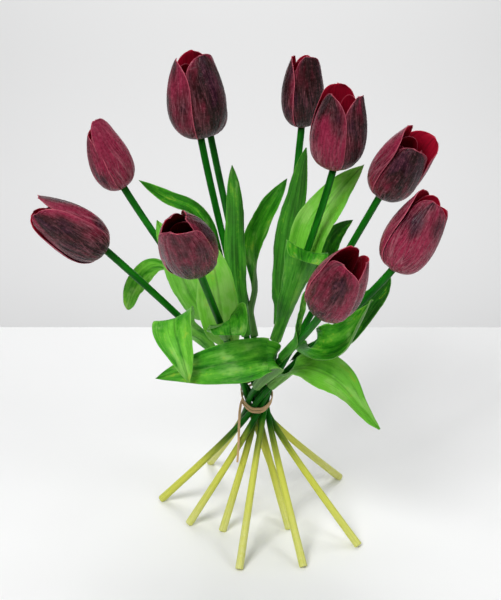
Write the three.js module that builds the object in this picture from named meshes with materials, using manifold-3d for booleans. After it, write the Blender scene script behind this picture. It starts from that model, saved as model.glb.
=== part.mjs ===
// A bunch of ten tulips, tied at the waist and standing on its splayed cut ends.
// Millimetres, +Z up, the middle of the footprint at the origin, the front towards -Y.
import * as THREE from 'three';
import { mergeVertices } from 'three/addons/utils/BufferGeometryUtils.js';
import Module from 'manifold-3d';

const wasm = await Module();
wasm.setup();

const FOOTPRINT_MIDDLE = [-12.9, -6.3]; // from the tie's own axis to the middle of the bunch
const WAIST_HEIGHT = 87;
const CLEARANCE = 0.35; // between a stem's end and its bloom
const SHEATH_CLEARANCE = 0.6; // between a stem's corners and the leaf round it

const STEM_FOOT_RADIUS = 2.7;
const STEM_WAIST_RADIUS = 1.95;
const STEM_TOP_RADIUS = 2.35;
const STEM_SIDES = 7;
const FOOT_SOFTENING = 0.7; // how far the edge of a cut end is rounded off
const FOOT_TRIM = 0.5; // how much the floor flattens the lowest corner of a cut end
const BEND_SHARE = 0.16; // share of a stem's length that the bend at the tie takes

const PETAL_THICKNESS = 0.9;
const LEAF_THICKNESS = 0.8;
const FACE_STEPS = 8; // steps from one place of a leaf's midrib to the next
const STRAND_THICKNESS = 0.8;
const STRAND_WIDTH = 1.8;
const TIE_GAP = 0.8; // between the stems and the tie's inside
const TIE_TILT = 30; // degrees that the tie's front hangs lower
const TIE_RISE = 4.5; // from the bends of the stems up to the tie's middle
const TIE_STEPS = 20;

// foot: the cut end on the floor. waist: angle and distance from the tie's axis.
// lean: tilt and heading at the tie. base: where the bloom sits. axis: the bloom's heading and rise.
const TULIPS = [
  { foot: [59.4, 41.6], waist: [110, 6.4], lean: [23, 190], base: [-94.7, -12, 205], axis: [192, 37] },
  { foot: [68, -41.2], waist: [64, 6.4], lean: [21, 146], base: [-87.2, 45, 223.9], axis: [196, 66] },
  { foot: [22, -20.7], waist: [80, 2.2], lean: [0, 90], base: [-36.4, 54, 254.6], axis: [174, 84] },
  { foot: [23.6, -8.5], waist: [154, 6.4], lean: [21, 244], base: [-35.3, -80, 227], axis: [247, 56] },
  { foot: [-11.6, -67.4], waist: [335, 6.4], lean: [27, 61], base: [29.6, 76, 254], axis: [281, 87] },
  { foot: [-23.3, -23.4], waist: [272, 2.2], lean: [4, 5], base: [48.2, 18, 247.6], axis: [349, 85] },
  { foot: [-46.2, -15.3], waist: [291, 6.4], lean: [26, 27], base: [79, 22, 228.4], axis: [326, 61] },
  { foot: [-66.4, 14], waist: [247, 6.4], lean: [25, 328], base: [82.4, -42, 206], axis: [6, 62] },
  { foot: [-33.3, 61.4], waist: [198, 6.4], lean: [18, 305], base: [37.5, -97, 205], axis: [318, 63] },
  { foot: [30.5, -64.9], waist: [21, 6.4], lean: [25, 109], base: [-31.7, 100, 240.3], axis: [244, 72] },
];

// height: stem end to petal tips. belly: widest radius. mouth: radius at the tips.
// spin: the angle of the first outer petal. shoulder: where along each petal its tip begins to
// round off, from 0 at the root to 1 at the end. splay and lift: what each adds to the mouth's
// radius and to the height; the petals at even places are the outer ones.
const BLOOMS = [
  { height: 52, belly: 15.4, mouth: 7, spin: 266, shoulder: [0.68, 0.66, 0.7, 0.66, 0.66, 0.66],
    splay: [-1, 0, 1, 0, 0, 0], lift: [2, -4, 4, -2, 0, -4] },
  { height: 50, belly: 13.4, mouth: 4, spin: 204, shoulder: [0.66, 0.66, 0.66, 0.66, 0.66, 0.66],
    splay: [0, 0, 2, 0, -2, 0], lift: [-5, -4, 3, -4, -4, -7] },
  { height: 53, belly: 18.2, mouth: 9, spin: 198, shoulder: [0.68, 0.66, 0.74, 0.66, 0.66, 0.66],
    splay: [1, 0, 1, 0, 0, 0], lift: [3, -2, 5, -4, 4, 0] },
  { height: 46, belly: 16.4, mouth: 10, spin: 264, shoulder: [0.74, 0.66, 0.6, 0.66, 0.66, 0.66],
    splay: [2, 0, -4, 0, -4, 0], lift: [8, -9, 1, -9, 2, -9] },
  { height: 48, belly: 13.2, mouth: 7, spin: 298, shoulder: [0.7, 0.66, 0.68, 0.66, 0.68, 0.66],
    splay: [0, 0, 0, 0, 0, 0], lift: [4, -3, 0, 0, 2, -3] },
  { height: 52, belly: 16.8, mouth: 10, spin: 219, shoulder: [0.66, 0.66, 0.66, 0.66, 0.66, 0.66],
    splay: [-1, 0, 2, 0, 0, 0], lift: [0, -8, 0, 0, 2, 0] },
  { height: 49, belly: 15.4, mouth: 8, spin: 282, shoulder: [0.78, 0.66, 0.72, 0.66, 0.66, 0.66],
    splay: [0, 0, 12, 0, 0, 0], lift: [-2, -2, -2, 0, 6, -3] },
  { height: 51, belly: 15.6, mouth: 8, spin: 262, shoulder: [0.76, 0.66, 0.68, 0.68, 0.66, 0.66],
    splay: [-1, 0, 4, 0, 1, 0], lift: [1, -5, -3, 5, 2, 0] },
  { height: 47, belly: 15.6, mouth: 10, spin: 245, shoulder: [0.72, 0.66, 0.66, 0.66, 0.66, 0.66],
    splay: [0, 0, -1, 0, -6, 0], lift: [0, -12, 1, -15, 6, -8] },
  { height: 45, belly: 13.4, mouth: 6, spin: 200, shoulder: [0.66, 0.66, 0.66, 0.66, 0.66, 0.66],
    splay: [0, 0, 0, 0, 0, 0], lift: [0, 0, 0, 0, 0, 0] },
];

// stem: the tulip it grows from. sheath: where it clasps that stem, measured up from the tie.
// side: the side of the stem its midrib is on. route: the midrib after the sheath, to the tip.
// half, bend and roll: half the width, the radius that the blade is rolled to, and the turn
// round the midrib, at the sheath's two ends and at each point of the route.
const LEAVES = [
  { stem: 3, sheath: [66, 78], side: 170, wave: 0.6,
    route: [
      [-23, 26, 172], [-28.5, 29.5, 188], [-33, 34.5, 201], [-43, 39, 212], [-60, 42, 219], [-77, 42, 230],
    ],
    half: [6, 6, 6, 6, 5.6, 5.2, 4.4, 0.7],
    bend: [0, 5, 6, 8, 8, 9, 9, 9],
    roll: [0, 0, 0, -20, -40, -60, -70, -70] },
  { stem: 2, sheath: [82, 94], side: 190, wave: 0.5,
    route: [[-61, 32, 171], [-70.5, 30, 171.5], [-77.9, 28, 163.8], [-82.8, 27, 154.7], [-86, 26, 143.5]],
    half: [6, 6, 6.5, 7.4, 7.6, 6.4, 2.4],
    bend: [0, 6, 10, 14, 14, 12, 12],
    roll: [0, 0, -25, -55, -68, -70, -70] },
  { stem: 2, sheath: [50, 62], side: 270, wave: 0.6,
    route: [[-33, 10, 147], [-42, 6, 162], [-48, 8, 176], [-53, 10, 190], [-59, 12, 203], [-64, 14, 214]],
    half: [6, 7, 9, 10.5, 11, 10, 6, 0.7],
    bend: [0, 6, 14, 18, 18, 16, 12, 12],
    roll: [0, 0, 0, 0, 0, 0, 0, 0] },
  { stem: 1, sheath: [50, 62], side: 262, wave: 0.4,
    route: [
      [-46, -14, 149], [-50, -23, 161], [-52, -32, 167], [-51, -44, 163], [-46, -56, 152], [-42, -64, 139],
    ],
    half: [6, 7, 9, 12, 14, 13.5, 8, 0.8],
    bend: [0, 6, 12, 24, 30, 24, 14, 10],
    roll: [0, 0, 0, 0, 0, 0, 0, 0] },
  { stem: 4, sheath: [58, 72], side: 80, wave: 0.6,
    route: [[-21, -35, 162], [-23, -36, 178], [-25, -36, 195], [-28, -33, 211], [-32, -28, 224]],
    half: [6.5, 8, 12.5, 14.5, 12.5, 8, 0.7],
    bend: [0, 7, 14, 20, 20, 16, 14],
    roll: [0, 0, 0, 0, 0, 0, 0] },
  { stem: 4, sheath: [82, 92], side: 290, wave: 0.5,
    route: [[-20.5, -57, 173.5], [-17.5, -62, 182], [-16.5, -66.5, 181], [-16.5, -69.5, 175.5]],
    half: [4.5, 6, 11, 13.5, 14, 12],
    bend: [0, 5, 12, 24, 34, 34],
    roll: [0, 0, 4, 12, 16, 16] },
  { stem: 9, sheath: [26, 76], side: 190, wave: 0.7,
    route: [
      [5, -52, 150], [-3, -55, 151], [-15, -57, 149.5], [-32, -54, 144.5], [-48, -49, 138.5], [-64, -44, 131],
    ],
    half: [6, 9, 13, 14, 13.5, 11, 6.5, 0.8],
    bend: [0, 8, 12, 20, 30, 34, 26, 20],
    roll: [0, 0, -15, -22, -26, -26, -26, -26] },
  { stem: 8, sheath: [24, 40], side: 300, wave: 0.7,
    route: [
      [20.5, -36.5, 131.5], [29, -43.5, 138], [40, -48, 137.5],
      [52, -51, 131], [64, -56, 118], [77, -60, 103],
    ],
    half: [6, 5.5, 9.5, 12.5, 14.5, 12.5, 7, 0.8],
    bend: [0, 7, 16, 22, 24, 20, 18, 16],
    roll: [0, -6, 32, 42, 52, 55, 50, 50] },
  { stem: 3, sheath: [46, 58], side: 280, wave: 0.4,
    route: [[-11, 10, 155], [-13, 14, 173], [-14, 19, 192], [-14, 23, 214], [-15, 26, 232], [-16, 29, 246]],
    half: [6, 6, 6.5, 7, 7.2, 6.2, 4.2, 0.7],
    bend: [0, 5, 8, 11, 12, 12, 12, 12],
    roll: [0, 0, 0, 0, 0, 0, 0, 0] },
  { stem: 10, sheath: [44, 60], side: 0, wave: 0.6,
    route: [[0, 42, 150], [-1, 44, 166], [-2, 46, 184], [3, 50, 198], [11, 53, 212], [20, 57, 225]],
    half: [6, 6, 6, 7, 8, 7.5, 5.5, 0.7],
    bend: [0, 4, 4.5, 6, 9, 10, 10, 10],
    roll: [0, 0, 0, 30, 70, 90, 90, 90] },
  { stem: 5, sheath: [54, 66], side: 250, wave: 0.6,
    route: [[15, 27, 153], [16, 31, 168], [19, 37, 191], [24, 42, 213], [28, 46, 233], [32, 49, 250]],
    half: [6, 6, 6.5, 8, 8.8, 8, 5, 0.7],
    bend: [0, 5, 8, 11, 12, 12, 11, 11],
    roll: [0, 0, 0, 0, 0, 0, 0, 0] },
  { stem: 6, sheath: [48, 84], side: 60, wave: 0.5, gap: 0.8,
    route: [[31, 17, 185], [36, 23, 202], [44, 28, 215], [56, 33, 230], [69, 37, 243]],
    half: [6, 6.5, 12.5, 14, 12.5, 8.5, 0.7],
    bend: [0, 3.5, 14, 18, 18, 16, 14],
    roll: [0, 0, 0, 0, 0, 0, 0],
    front: { stem: 6, sheath: [48, 62], side: 284, wave: 0.4, gap: 1.2,
      route: [
        [20, -1, 158], [24, -3, 173], [28.5, -5, 189.5], [30.5, -8, 201.5], [30.5, -13, 204.5],
        [29.5, -18.5, 200.5],
      ],
      half: [6.5, 7, 8, 10, 12.5, 14, 14, 11],
      bend: [0, 4, 6.5, 9, 14, 30, 60, 60],
      roll: [0, 0, 0, 0, -6, -20, -34, -40] } },
  { stem: 7, sheath: [74, 88], side: 80, wave: 0.5,
    route: [[42, 22, 172], [45, 30, 182], [49, 37, 190], [55.5, 42, 195.5], [63.5, 46, 200]],
    half: [6, 6, 7, 8, 7, 4.5, 0.7],
    bend: [0, 5, 9, 12, 12, 12, 12],
    roll: [0, 0, 0, 0, 0, 0, 0] },
  { stem: 8, sheath: [50, 60], side: 65, wave: 0.5,
    route: [[53, -19, 146], [63, -21, 160], [72, -24, 176], [79, -26, 186], [83, -28, 194]],
    half: [6, 6, 7, 8, 7.5, 5, 0.7],
    bend: [0, 6, 12, 16, 14, 12, 12],
    roll: [0, 0, 0, 0, 0, 0, 0] },
  { stem: 8, sheath: [62, 70], side: 262, wave: 1.4,
    route: [[34, -39, 150.5], [43, -48, 155], [54, -54, 163], [62.5, -58, 178.5], [69, -60, 195]],
    half: [6, 7, 12.5, 15.5, 14, 8.5, 0.7],
    bend: [0, 6, 10, 11.5, 11, 9, 9],
    roll: [0, 0, 55, 98, 98, 86, 76] },
  { stem: 9, sheath: [84, 114], side: 165, wave: 0.3,
    route: [[24, -72, 184.5], [26.5, -72, 195.5], [28, -71, 206]],
    half: [5, 5.2, 3.6, 3, 0.7],
    bend: [0, 3.6, 7, 8, 8],
    roll: [0, 0, -35, -40, -40] },
];

const radians = THREE.MathUtils.degToRad;
const mix = THREE.MathUtils.lerp;
const vector = (list) => new THREE.Vector3(list[0], list[1], list[2]);

function heading(azimuth, rise) {
  const a = radians(azimuth);
  const r = radians(rise);
  return new THREE.Vector3(Math.cos(r) * Math.cos(a), Math.cos(r) * Math.sin(a), Math.sin(r));
}

// The value at place t of a list, joined by smooth curves through all of its values.
function smoothNumber(list, t) {
  const i = Math.min(Math.floor(t), list.length - 2);
  const f = t - i;
  const before = list[Math.max(i - 1, 0)];
  const after = list[Math.min(i + 2, list.length - 1)];
  const slopeIn = (list[i + 1] - before) / 2;
  const slopeOut = (after - list[i]) / 2;
  const f2 = f * f;
  const f3 = f2 * f;
  return list[i] * (2 * f3 - 3 * f2 + 1) + slopeIn * (f3 - 2 * f2 + f)
    + list[i + 1] * (3 * f2 - 2 * f3) + slopeOut * (f3 - f2);
}

function smoothPoint(points, t) {
  return new THREE.Vector3(...[0, 1, 2].map((k) => smoothNumber(points.map((p) => p.getComponent(k)), t)));
}

function meshFrom(points, triangles) {
  const geometry = new THREE.BufferGeometry();
  const numbers = points.flatMap((p) => [p.x, p.y, p.z]);
  geometry.setAttribute('position', new THREE.Float32BufferAttribute(numbers, 3));
  geometry.setIndex(triangles);
  return geometry;
}

function solidFrom(geometry) {
  const bare = geometry.clone();
  bare.deleteAttribute('normal');
  bare.deleteAttribute('uv');
  const merged = mergeVertices(bare, 1e-5);
  return new wasm.Manifold(new wasm.Mesh({
    numProp: 3,
    vertProperties: new Float32Array(merged.attributes.position.array),
    triVerts: new Uint32Array(merged.index.array),
  }));
}

function geometryFrom(solid) {
  const mesh = solid.getMesh();
  const geometry = new THREE.BufferGeometry();
  geometry.setAttribute('position', new THREE.Float32BufferAttribute(mesh.vertProperties, 3));
  geometry.setIndex(Array.from(mesh.triVerts));
  return geometry;
}

// A tube through closed rings of points, all with as many points, shut at both ends.
function skinnedRings(rings) {
  const sides = rings[0].length;
  const points = rings.flat();
  const triangles = [];
  for (let i = 0; i + 1 < rings.length; i += 1) {
    for (let j = 0; j < sides; j += 1) {
      const a = i * sides + j;
      const b = i * sides + (j + 1) % sides;
      triangles.push(a, b, b + sides, a, b + sides, a + sides);
    }
  }
  const last = (rings.length - 1) * sides;
  for (let j = 1; j + 1 < sides; j += 1) {
    triangles.push(0, j + 1, j);
    triangles.push(last, last + j, last + j + 1);
  }
  return meshFrom(points, triangles);
}

// A closed loop through rings of points.
function skinnedLoop(rings) {
  const sides = rings[0].length;
  const count = rings.length * sides;
  const triangles = [];
  for (let i = 0; i < rings.length; i += 1) {
    for (let j = 0; j < sides; j += 1) {
      const a = i * sides + j;
      const b = i * sides + (j + 1) % sides;
      const c = (b + sides) % count;
      const d = (a + sides) % count;
      triangles.push(a, b, c, a, c, d);
    }
  }
  return meshFrom(rings.flat(), triangles);
}

// A thin closed blade: rows of points on its middle surface, each with the surface's normal.
function blade(rows, thickness) {
  const across = rows[0].length;
  const count = rows.length * across;
  const flat = rows.flat();
  const upper = flat.map((p) => p.place.clone().addScaledVector(p.normal, thickness / 2));
  const lower = flat.map((p) => p.place.clone().addScaledVector(p.normal, -thickness / 2));
  const triangles = [];
  for (let i = 0; i + 1 < rows.length; i += 1) {
    for (let j = 0; j + 1 < across; j += 1) {
      const a = i * across + j;
      const b = a + 1;
      const c = b + across;
      const d = a + across;
      triangles.push(a, b, c, a, c, d);
      triangles.push(a + count, c + count, b + count, a + count, d + count, c + count);
    }
  }
  const rim = [];
  for (let j = 0; j + 1 < across; j += 1) rim.push(j);
  for (let i = 0; i + 1 < rows.length; i += 1) rim.push(i * across + across - 1);
  for (let j = across - 1; j > 0; j -= 1) rim.push((rows.length - 1) * across + j);
  for (let i = rows.length - 1; i > 0; i -= 1) rim.push(i * across);
  rim.forEach((a, k) => {
    const b = rim[(k + 1) % rim.length];
    triangles.push(a, a + count, b + count, a, b + count, b);
  });
  return meshFrom([...upper, ...lower], triangles);
}

// A blade over a formula for its middle surface; the normals come from its slopes.
function bladeOver(surface, along, across, thickness) {
  const step = 1e-3;
  const rows = along.map((v) => across.map((u) => {
    const du = surface(u + step, v).sub(surface(u - step, v));
    const dv = surface(u, v + step).sub(surface(u, v - step));
    return { place: surface(u, v), normal: du.cross(dv).normalize() };
  }));
  return blade(rows, thickness);
}

function bezier(p, t) {
  const s = 1 - t;
  return p[0].clone().multiplyScalar(s * s * s)
    .addScaledVector(p[1], 3 * s * s * t)
    .addScaledVector(p[2], 3 * s * t * t)
    .addScaledVector(p[3], t * t * t);
}

// The two curves of a stem: from the floor to the tie, and from the tie to the bloom.
function stemCurves(tulip) {
  const turn = radians(tulip.waist[0]);
  const out = tulip.waist[1];
  const waist = new THREE.Vector3(Math.cos(turn) * out, Math.sin(turn) * out, WAIST_HEIGHT);
  const lean = heading(tulip.lean[1], 90 - tulip.lean[0]);
  const base = vector(tulip.base);
  const flatFoot = new THREE.Vector3(tulip.foot[0], tulip.foot[1], 0);
  const slope = flatFoot.clone().sub(waist).normalize();
  const slant = Math.hypot(slope.x, slope.y);
  const endDrop = (STEM_FOOT_RADIUS - FOOT_SOFTENING) * slant;
  const sideDrop = STEM_FOOT_RADIUS * slant + FOOT_SOFTENING * slope.z;
  const lift = Math.max(endDrop, sideDrop) - FOOT_TRIM;
  const foot = flatFoot.clone().setZ(lift);
  const below = foot.distanceTo(waist);
  const above = base.distanceTo(waist);
  const beforeTie = waist.clone().addScaledVector(lean, -below * BEND_SHARE);
  const afterTie = waist.clone().addScaledVector(lean, above * BEND_SHARE);
  const arrival = base.clone().sub(waist).normalize().multiplyScalar(0.75)
    .addScaledVector(heading(...tulip.axis), 0.25).normalize();
  return [
    [foot, foot.clone().lerp(beforeTie, 0.45), beforeTie, waist],
    [waist, afterTie, base.clone().addScaledVector(arrival, -above * 0.35), base],
  ];
}

// A stem's place, direction and distance from the tie, close-set along its upper curve.
function upperStem(tulip) {
  const curve = stemCurves(tulip)[1];
  const steps = 200;
  const places = Array.from({ length: steps + 1 }, (_, i) => bezier(curve, i / steps));
  const travelled = [0];
  for (let i = 1; i <= steps; i += 1) {
    travelled.push(travelled[i - 1] + places[i].distanceTo(places[i - 1]));
  }
  return (distance) => {
    const i = Math.max(1, travelled.findIndex((d) => d >= distance));
    const f = (distance - travelled[i - 1]) / (travelled[i] - travelled[i - 1]);
    return {
      place: places[i - 1].clone().lerp(places[i], f),
      direction: places[i].clone().sub(places[i - 1]).normalize(),
      radius: mix(STEM_WAIST_RADIUS, STEM_TOP_RADIUS, distance / travelled[steps]),
    };
  };
}

// Rings square to a route. The first corner of each starts out straight below the middle, and
// the last ring is square to the finish.
function ringsAlong(places, radii, sides, finish) {
  let across = new THREE.Vector3(0, 0, -1);
  return places.map((place, i) => {
    const next = places[Math.min(i + 1, places.length - 1)];
    const past = places[Math.max(i - 1, 0)];
    const ahead = i === places.length - 1 ? finish : next.clone().sub(past).normalize();
    across = across.clone().addScaledVector(ahead, -across.dot(ahead)).normalize();
    const up = ahead.clone().cross(across);
    return Array.from({ length: sides }, (_, j) => {
      const angle = (2 * Math.PI * j) / sides;
      return place.clone()
        .addScaledVector(across, radii[i] * Math.cos(angle))
        .addScaledVector(up, radii[i] * Math.sin(angle));
    });
  });
}

// A tapering stem with a softened cut end, its lowest corner flattened by the floor.
function stem(tulip) {
  const [lower, upper] = stemCurves(tulip);
  const below = [0, 0.44, 0.68, 0.86];
  const above = [0, 0.12, 0.27, 0.52, 0.73, 0.88];
  const places = [...below.map((t) => bezier(lower, t)), ...above.map((t) => bezier(upper, t))];
  const radii = [
    ...below.map((t) => mix(STEM_WAIST_RADIUS, STEM_FOOT_RADIUS, Math.pow(1 - t, 1.3))),
    ...above.map((t) => mix(STEM_WAIST_RADIUS, STEM_TOP_RADIUS, t)),
  ];
  const start = places[1].clone().sub(places[0]).normalize();
  const cut = places[0].clone();
  places[0].addScaledVector(start, FOOT_SOFTENING);
  places.unshift(cut);
  radii.unshift(STEM_FOOT_RADIUS - FOOT_SOFTENING);
  const finish = heading(...tulip.axis);
  places.push(upper[3].clone().addScaledVector(finish, -CLEARANCE));
  radii.push(STEM_TOP_RADIUS);
  const reach = 300;
  const floor = new THREE.BoxGeometry(reach, reach, reach);
  floor.translate(0, 0, -reach / 2);
  const tube = skinnedRings(ringsAlong(places, radii, STEM_SIDES, finish));
  return geometryFrom(solidFrom(tube).subtract(solidFrom(floor)));
}

// One petal in its bloom's own frame: the stem end at the origin, the bloom along +Z.
function petal(bloom, index) {
  const outer = index % 2 === 0;
  const belly = bloom.belly * (outer ? 1 : 0.81);
  const mouth = (bloom.mouth + bloom.splay[index]) * (outer ? 1 : 0.68);
  const height = (bloom.height + bloom.lift[index]) * (outer ? 1 : 0.96);
  const reach = radians(outer ? 66 : 54);
  const overlap = outer ? 1.1 : 0;
  const root = outer ? 1.3 : 3.4;
  const middle = [
    [1.2, root], [belly * 1.42, root - 0.3], [belly * 1.24, height * 0.64], [mouth, height],
  ];
  const turn = radians(bloom.spin + 60 * index);
  const out = new THREE.Vector3(Math.cos(turn), Math.sin(turn), 0);
  const side = new THREE.Vector3(-Math.sin(turn), Math.cos(turn), 0);
  const surface = (u, v) => {
    const s = 1 - v;
    const at = (k) => s * s * s * middle[0][k] + 3 * s * s * v * middle[1][k]
      + 3 * s * v * v * middle[2][k] + v * v * v * middle[3][k];
    const rho = at(0);
    const roll = Math.max(mix(rho, belly * 0.8, v * v), 2.5);
    const wide = mix(rho, belly * 0.9, 0.45 * v * v);
    const angle = (u * reach * wide * petalTip(v, bloom.shoulder[index])) / roll;
    const shift = overlap * u;
    return out.clone().multiplyScalar(rho - roll + (roll + shift) * Math.cos(angle))
      .addScaledVector(side, (roll + shift) * Math.sin(angle))
      .add(new THREE.Vector3(0, 0, at(1)));
  };
  const along = outer ? [0, 0.12, 0.32, 0.6, 0.8, 0.93, 1] : [0, 0.4, 0.75, 0.92, 1];
  const across = outer ? [-1, -0.5, 0, 0.5, 1] : [-1, -0.33, 0.33, 1];
  return bladeOver(surface, along, across, PETAL_THICKNESS);
}

// A petal's width as a share of its full width: whole up to the shoulder, then a round tip.
function petalTip(v, shoulder) {
  const past = Math.max(0, v - shoulder) / (1 - shoulder);
  return Math.max(0.2, Math.sqrt(Math.max(0, 1 - Math.pow(past, 2.4))));
}

// The knob at the stem end that carries the six petals.
function receptacle() {
  const profile = [[0, 0], [2.6, 0], [4.4, 1.4], [4.2, 4.6], [0, 5.6]];
  return new THREE.LatheGeometry(profile.map(([r, z]) => new THREE.Vector2(r, z)), 7).rotateX(Math.PI / 2);
}

function bloomFrame(tulip) {
  const axis = heading(...tulip.axis);
  const right = new THREE.Vector3(0, 1, 0).cross(axis).normalize();
  const back = axis.clone().cross(right);
  return new THREE.Matrix4().makeBasis(right, back, axis).setPosition(vector(tulip.base));
}

function bloom(tulip, shape) {
  let solid = solidFrom(receptacle());
  for (let index = 0; index < 6; index += 1) solid = solid.add(solidFrom(petal(shape, index)));
  return geometryFrom(solid).applyMatrix4(bloomFrame(tulip));
}

// The midrib at any place from the sheath's foot (0) and its top (1) to the tip (last): where it
// is, where it heads, which way the blade faces, its half width and the radius it is rolled to.
function leafSpine(leaf) {
  const onStem = upperStem(TULIPS[leaf.stem - 1]);
  const [from, to] = leaf.sheath;
  const towards = heading(leaf.side, 0);
  const clasp = (distance) => {
    const at = onStem(distance);
    const out = towards.clone().addScaledVector(at.direction, -towards.dot(at.direction)).normalize();
    const offset = at.radius + (leaf.gap ?? SHEATH_CLEARANCE) + LEAF_THICKNESS / 2;
    return { place: at.place.clone().addScaledVector(out, offset), out, offset };
  };
  const start = clasp(from);
  const points = [start.place, clasp(to).place, ...leaf.route.map(vector)];
  const last = points.length - 1;
  const bend = [start.offset, ...leaf.bend.slice(1)];
  const step = 0.02;
  const aheadAt = (t) => smoothPoint(points, Math.min(t + step, last))
    .sub(smoothPoint(points, Math.max(t - step, 0))).normalize();
  const faces = [];
  for (let i = 0; i <= last * FACE_STEPS; i += 1) {
    const t = i / FACE_STEPS;
    const face = t < 1 ? clasp(mix(from, to, t)).out.negate() : faces[i - 1].clone();
    const ahead = aheadAt(t);
    faces.push(face.addScaledVector(ahead, -face.dot(ahead)).normalize());
  }
  return (t) => ({
    t,
    place: t < 1 ? clasp(mix(from, to, t)).place : smoothPoint(points, t),
    ahead: aheadAt(t),
    face: faces[Math.round(t * FACE_STEPS)],
    turn: radians(smoothNumber(leaf.roll, t)),
    half: smoothNumber(leaf.half, t),
    bend: Math.max(start.offset, smoothNumber(bend, t)),
  });
}

function leafRows(leaf, places, across) {
  return places.map(leafSpine(leaf)).map((at) => {
    const turned = at.face.clone().applyAxisAngle(at.ahead, at.turn);
    const side = at.ahead.clone().cross(turned);
    const free = THREE.MathUtils.smoothstep(at.t, 1.2, 2.5);
    return across.map((u) => {
      const angle = (u * at.half) / at.bend;
      const normal = turned.clone().multiplyScalar(Math.cos(angle)).addScaledVector(side, -Math.sin(angle));
      const ripple = leaf.wave * free * u * u * Math.sin(at.t * 2.6 + (u > 0 ? 0 : 2));
      const place = at.place.clone()
        .addScaledVector(turned, at.bend * (1 - Math.cos(angle)))
        .addScaledVector(side, at.bend * Math.sin(angle))
        .addScaledVector(normal, ripple);
      return { place, normal };
    });
  });
}

function leafBlade(shape) {
  const last = shape.half.length - 1;
  const places = [0, 0.5, 1, 1.5, 2, 2.5];
  for (let i = 3; i <= last; i += 1) places.push(i);
  return blade(leafRows(shape, places, [-1, -0.67, -0.33, 0, 0.33, 0.67, 1]), LEAF_THICKNESS);
}

// A leaf; one has a front that closes round the stem and turns over at its top.
function leaf(shape) {
  if (!shape.front) return leafBlade(shape);
  return geometryFrom(solidFrom(leafBlade(shape)).add(solidFrom(leafBlade(shape.front))));
}

// A flat strand's corners round one place of its route.
function strandRing(place, outwards, up, width, thickness) {
  const w = width / 2;
  const h = thickness / 2;
  return [[-h, -w], [-h, w], [h, w], [h, -w]].map(([a, b]) => place.clone()
    .addScaledVector(outwards, a)
    .addScaledVector(up, b));
}

// Where a stem's middle line passes a height.
function stemAt(tulip, height) {
  const curve = stemCurves(tulip)[height < WAIST_HEIGHT ? 0 : 1];
  let low = 0;
  let high = 1;
  for (let i = 0; i < 24; i += 1) {
    const t = (low + high) / 2;
    if (bezier(curve, t).z < height) low = t;
    else high = t;
  }
  return bezier(curve, low);
}

// How far the stems reach from the tie's axis towards an angle, at a height.
function stemReach(angle, height) {
  const towards = new THREE.Vector3(Math.cos(angle), Math.sin(angle), 0);
  const slantedRadius = STEM_WAIST_RADIUS * 1.06;
  return Math.max(...TULIPS.map((tulip) => stemAt(tulip, height).dot(towards) + slantedRadius));
}

// A place on the tie's tilted round of the stems, so far above its middle line and further out.
function tiePlace(angle, height, extra) {
  const fall = Math.tan(radians(TIE_TILT));
  const middle = WAIST_HEIGHT + TIE_RISE;
  const level = middle + height + stemReach(angle, WAIST_HEIGHT) * Math.sin(angle) * fall;
  const margin = STRAND_WIDTH / 2;
  const reach = Math.max(stemReach(angle, level - margin), stemReach(angle, level + margin));
  const radius = reach + TIE_GAP + STRAND_THICKNESS / 2 + extra;
  return new THREE.Vector3(radius * Math.cos(angle), radius * Math.sin(angle), level);
}

// One turn of the tie: apart from the other at the left, and against it at the right.
function tieTurn(direction) {
  const up = heading(90, 90 - TIE_TILT).multiplyScalar(-1).setZ(Math.cos(radians(TIE_TILT)));
  return skinnedLoop(Array.from({ length: TIE_STEPS }, (_, i) => {
    const angle = (2 * Math.PI * i) / TIE_STEPS;
    const apart = direction * mix(0.8, 1.4, (1 - Math.cos(angle)) / 2);
    const place = tiePlace(angle, apart, 0);
    const outwards = heading(THREE.MathUtils.radToDeg(angle), 0);
    outwards.addScaledVector(up, -outwards.dot(up)).normalize();
    return strandRing(place, outwards, up, STRAND_WIDTH, STRAND_THICKNESS);
  }));
}

// The tie's knot at the left, and its loose end hanging in front of the stems.
function tieTail() {
  const route = [
    [-9, -2.4, 92.5], [-10.4, -3.8, 89.6], [-11.4, -7, 83.5],
    [-11.9, -11, 73.5], [-12.2, -13.8, 62], [-13, -15.2, 50],
  ].map(vector);
  const rows = Array.from({ length: 8 }, (_, i) => (5 * i) / 7);
  return skinnedRings(rows.map((t) => {
    const place = smoothPoint(route, t);
    const ahead = smoothPoint(route, Math.min(t + 0.02, 5))
      .sub(smoothPoint(route, Math.max(t - 0.02, 0))).normalize();
    const across = heading(mix(262, 350, Math.min(1, t / 2)), 0);
    across.addScaledVector(ahead, -across.dot(ahead)).normalize();
    const outwards = ahead.clone().cross(across);
    return strandRing(place, outwards, across, mix(2.2, 1.5, t / 5), STRAND_THICKNESS);
  }));
}

function knot() {
  const lump = new THREE.SphereGeometry(1, 7, 5);
  lump.scale(1.1, 1.7, 2.1);
  const at = tiePlace(radians(196), 0, 0.5);
  lump.translate(at.x, at.y, at.z);
  return lump;
}

function tie() {
  return geometryFrom(solidFrom(tieTurn(1)).add(solidFrom(tieTurn(-1)))
    .add(solidFrom(knot())).add(solidFrom(tieTail())));
}

const petalMaterial = new THREE.MeshStandardMaterial({ color: 0x5a1e2d, roughness: 0.45, metalness: 0 });
const leafMaterial = new THREE.MeshStandardMaterial({ color: 0x3f9a2c, roughness: 0.4, metalness: 0 });
const stemMaterial = new THREE.MeshStandardMaterial({ color: 0x2c7a1e, roughness: 0.45, metalness: 0 });
const raffiaMaterial = new THREE.MeshStandardMaterial({ color: 0xcda069, roughness: 0.7, metalness: 0 });

const bunch = new THREE.Group();

function place(name, geometry, material) {
  const mesh = new THREE.Mesh(geometry, material);
  mesh.name = name;
  mesh.position.set(-FOOTPRINT_MIDDLE[0], -FOOTPRINT_MIDDLE[1], 0);
  bunch.add(mesh);
}

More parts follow.
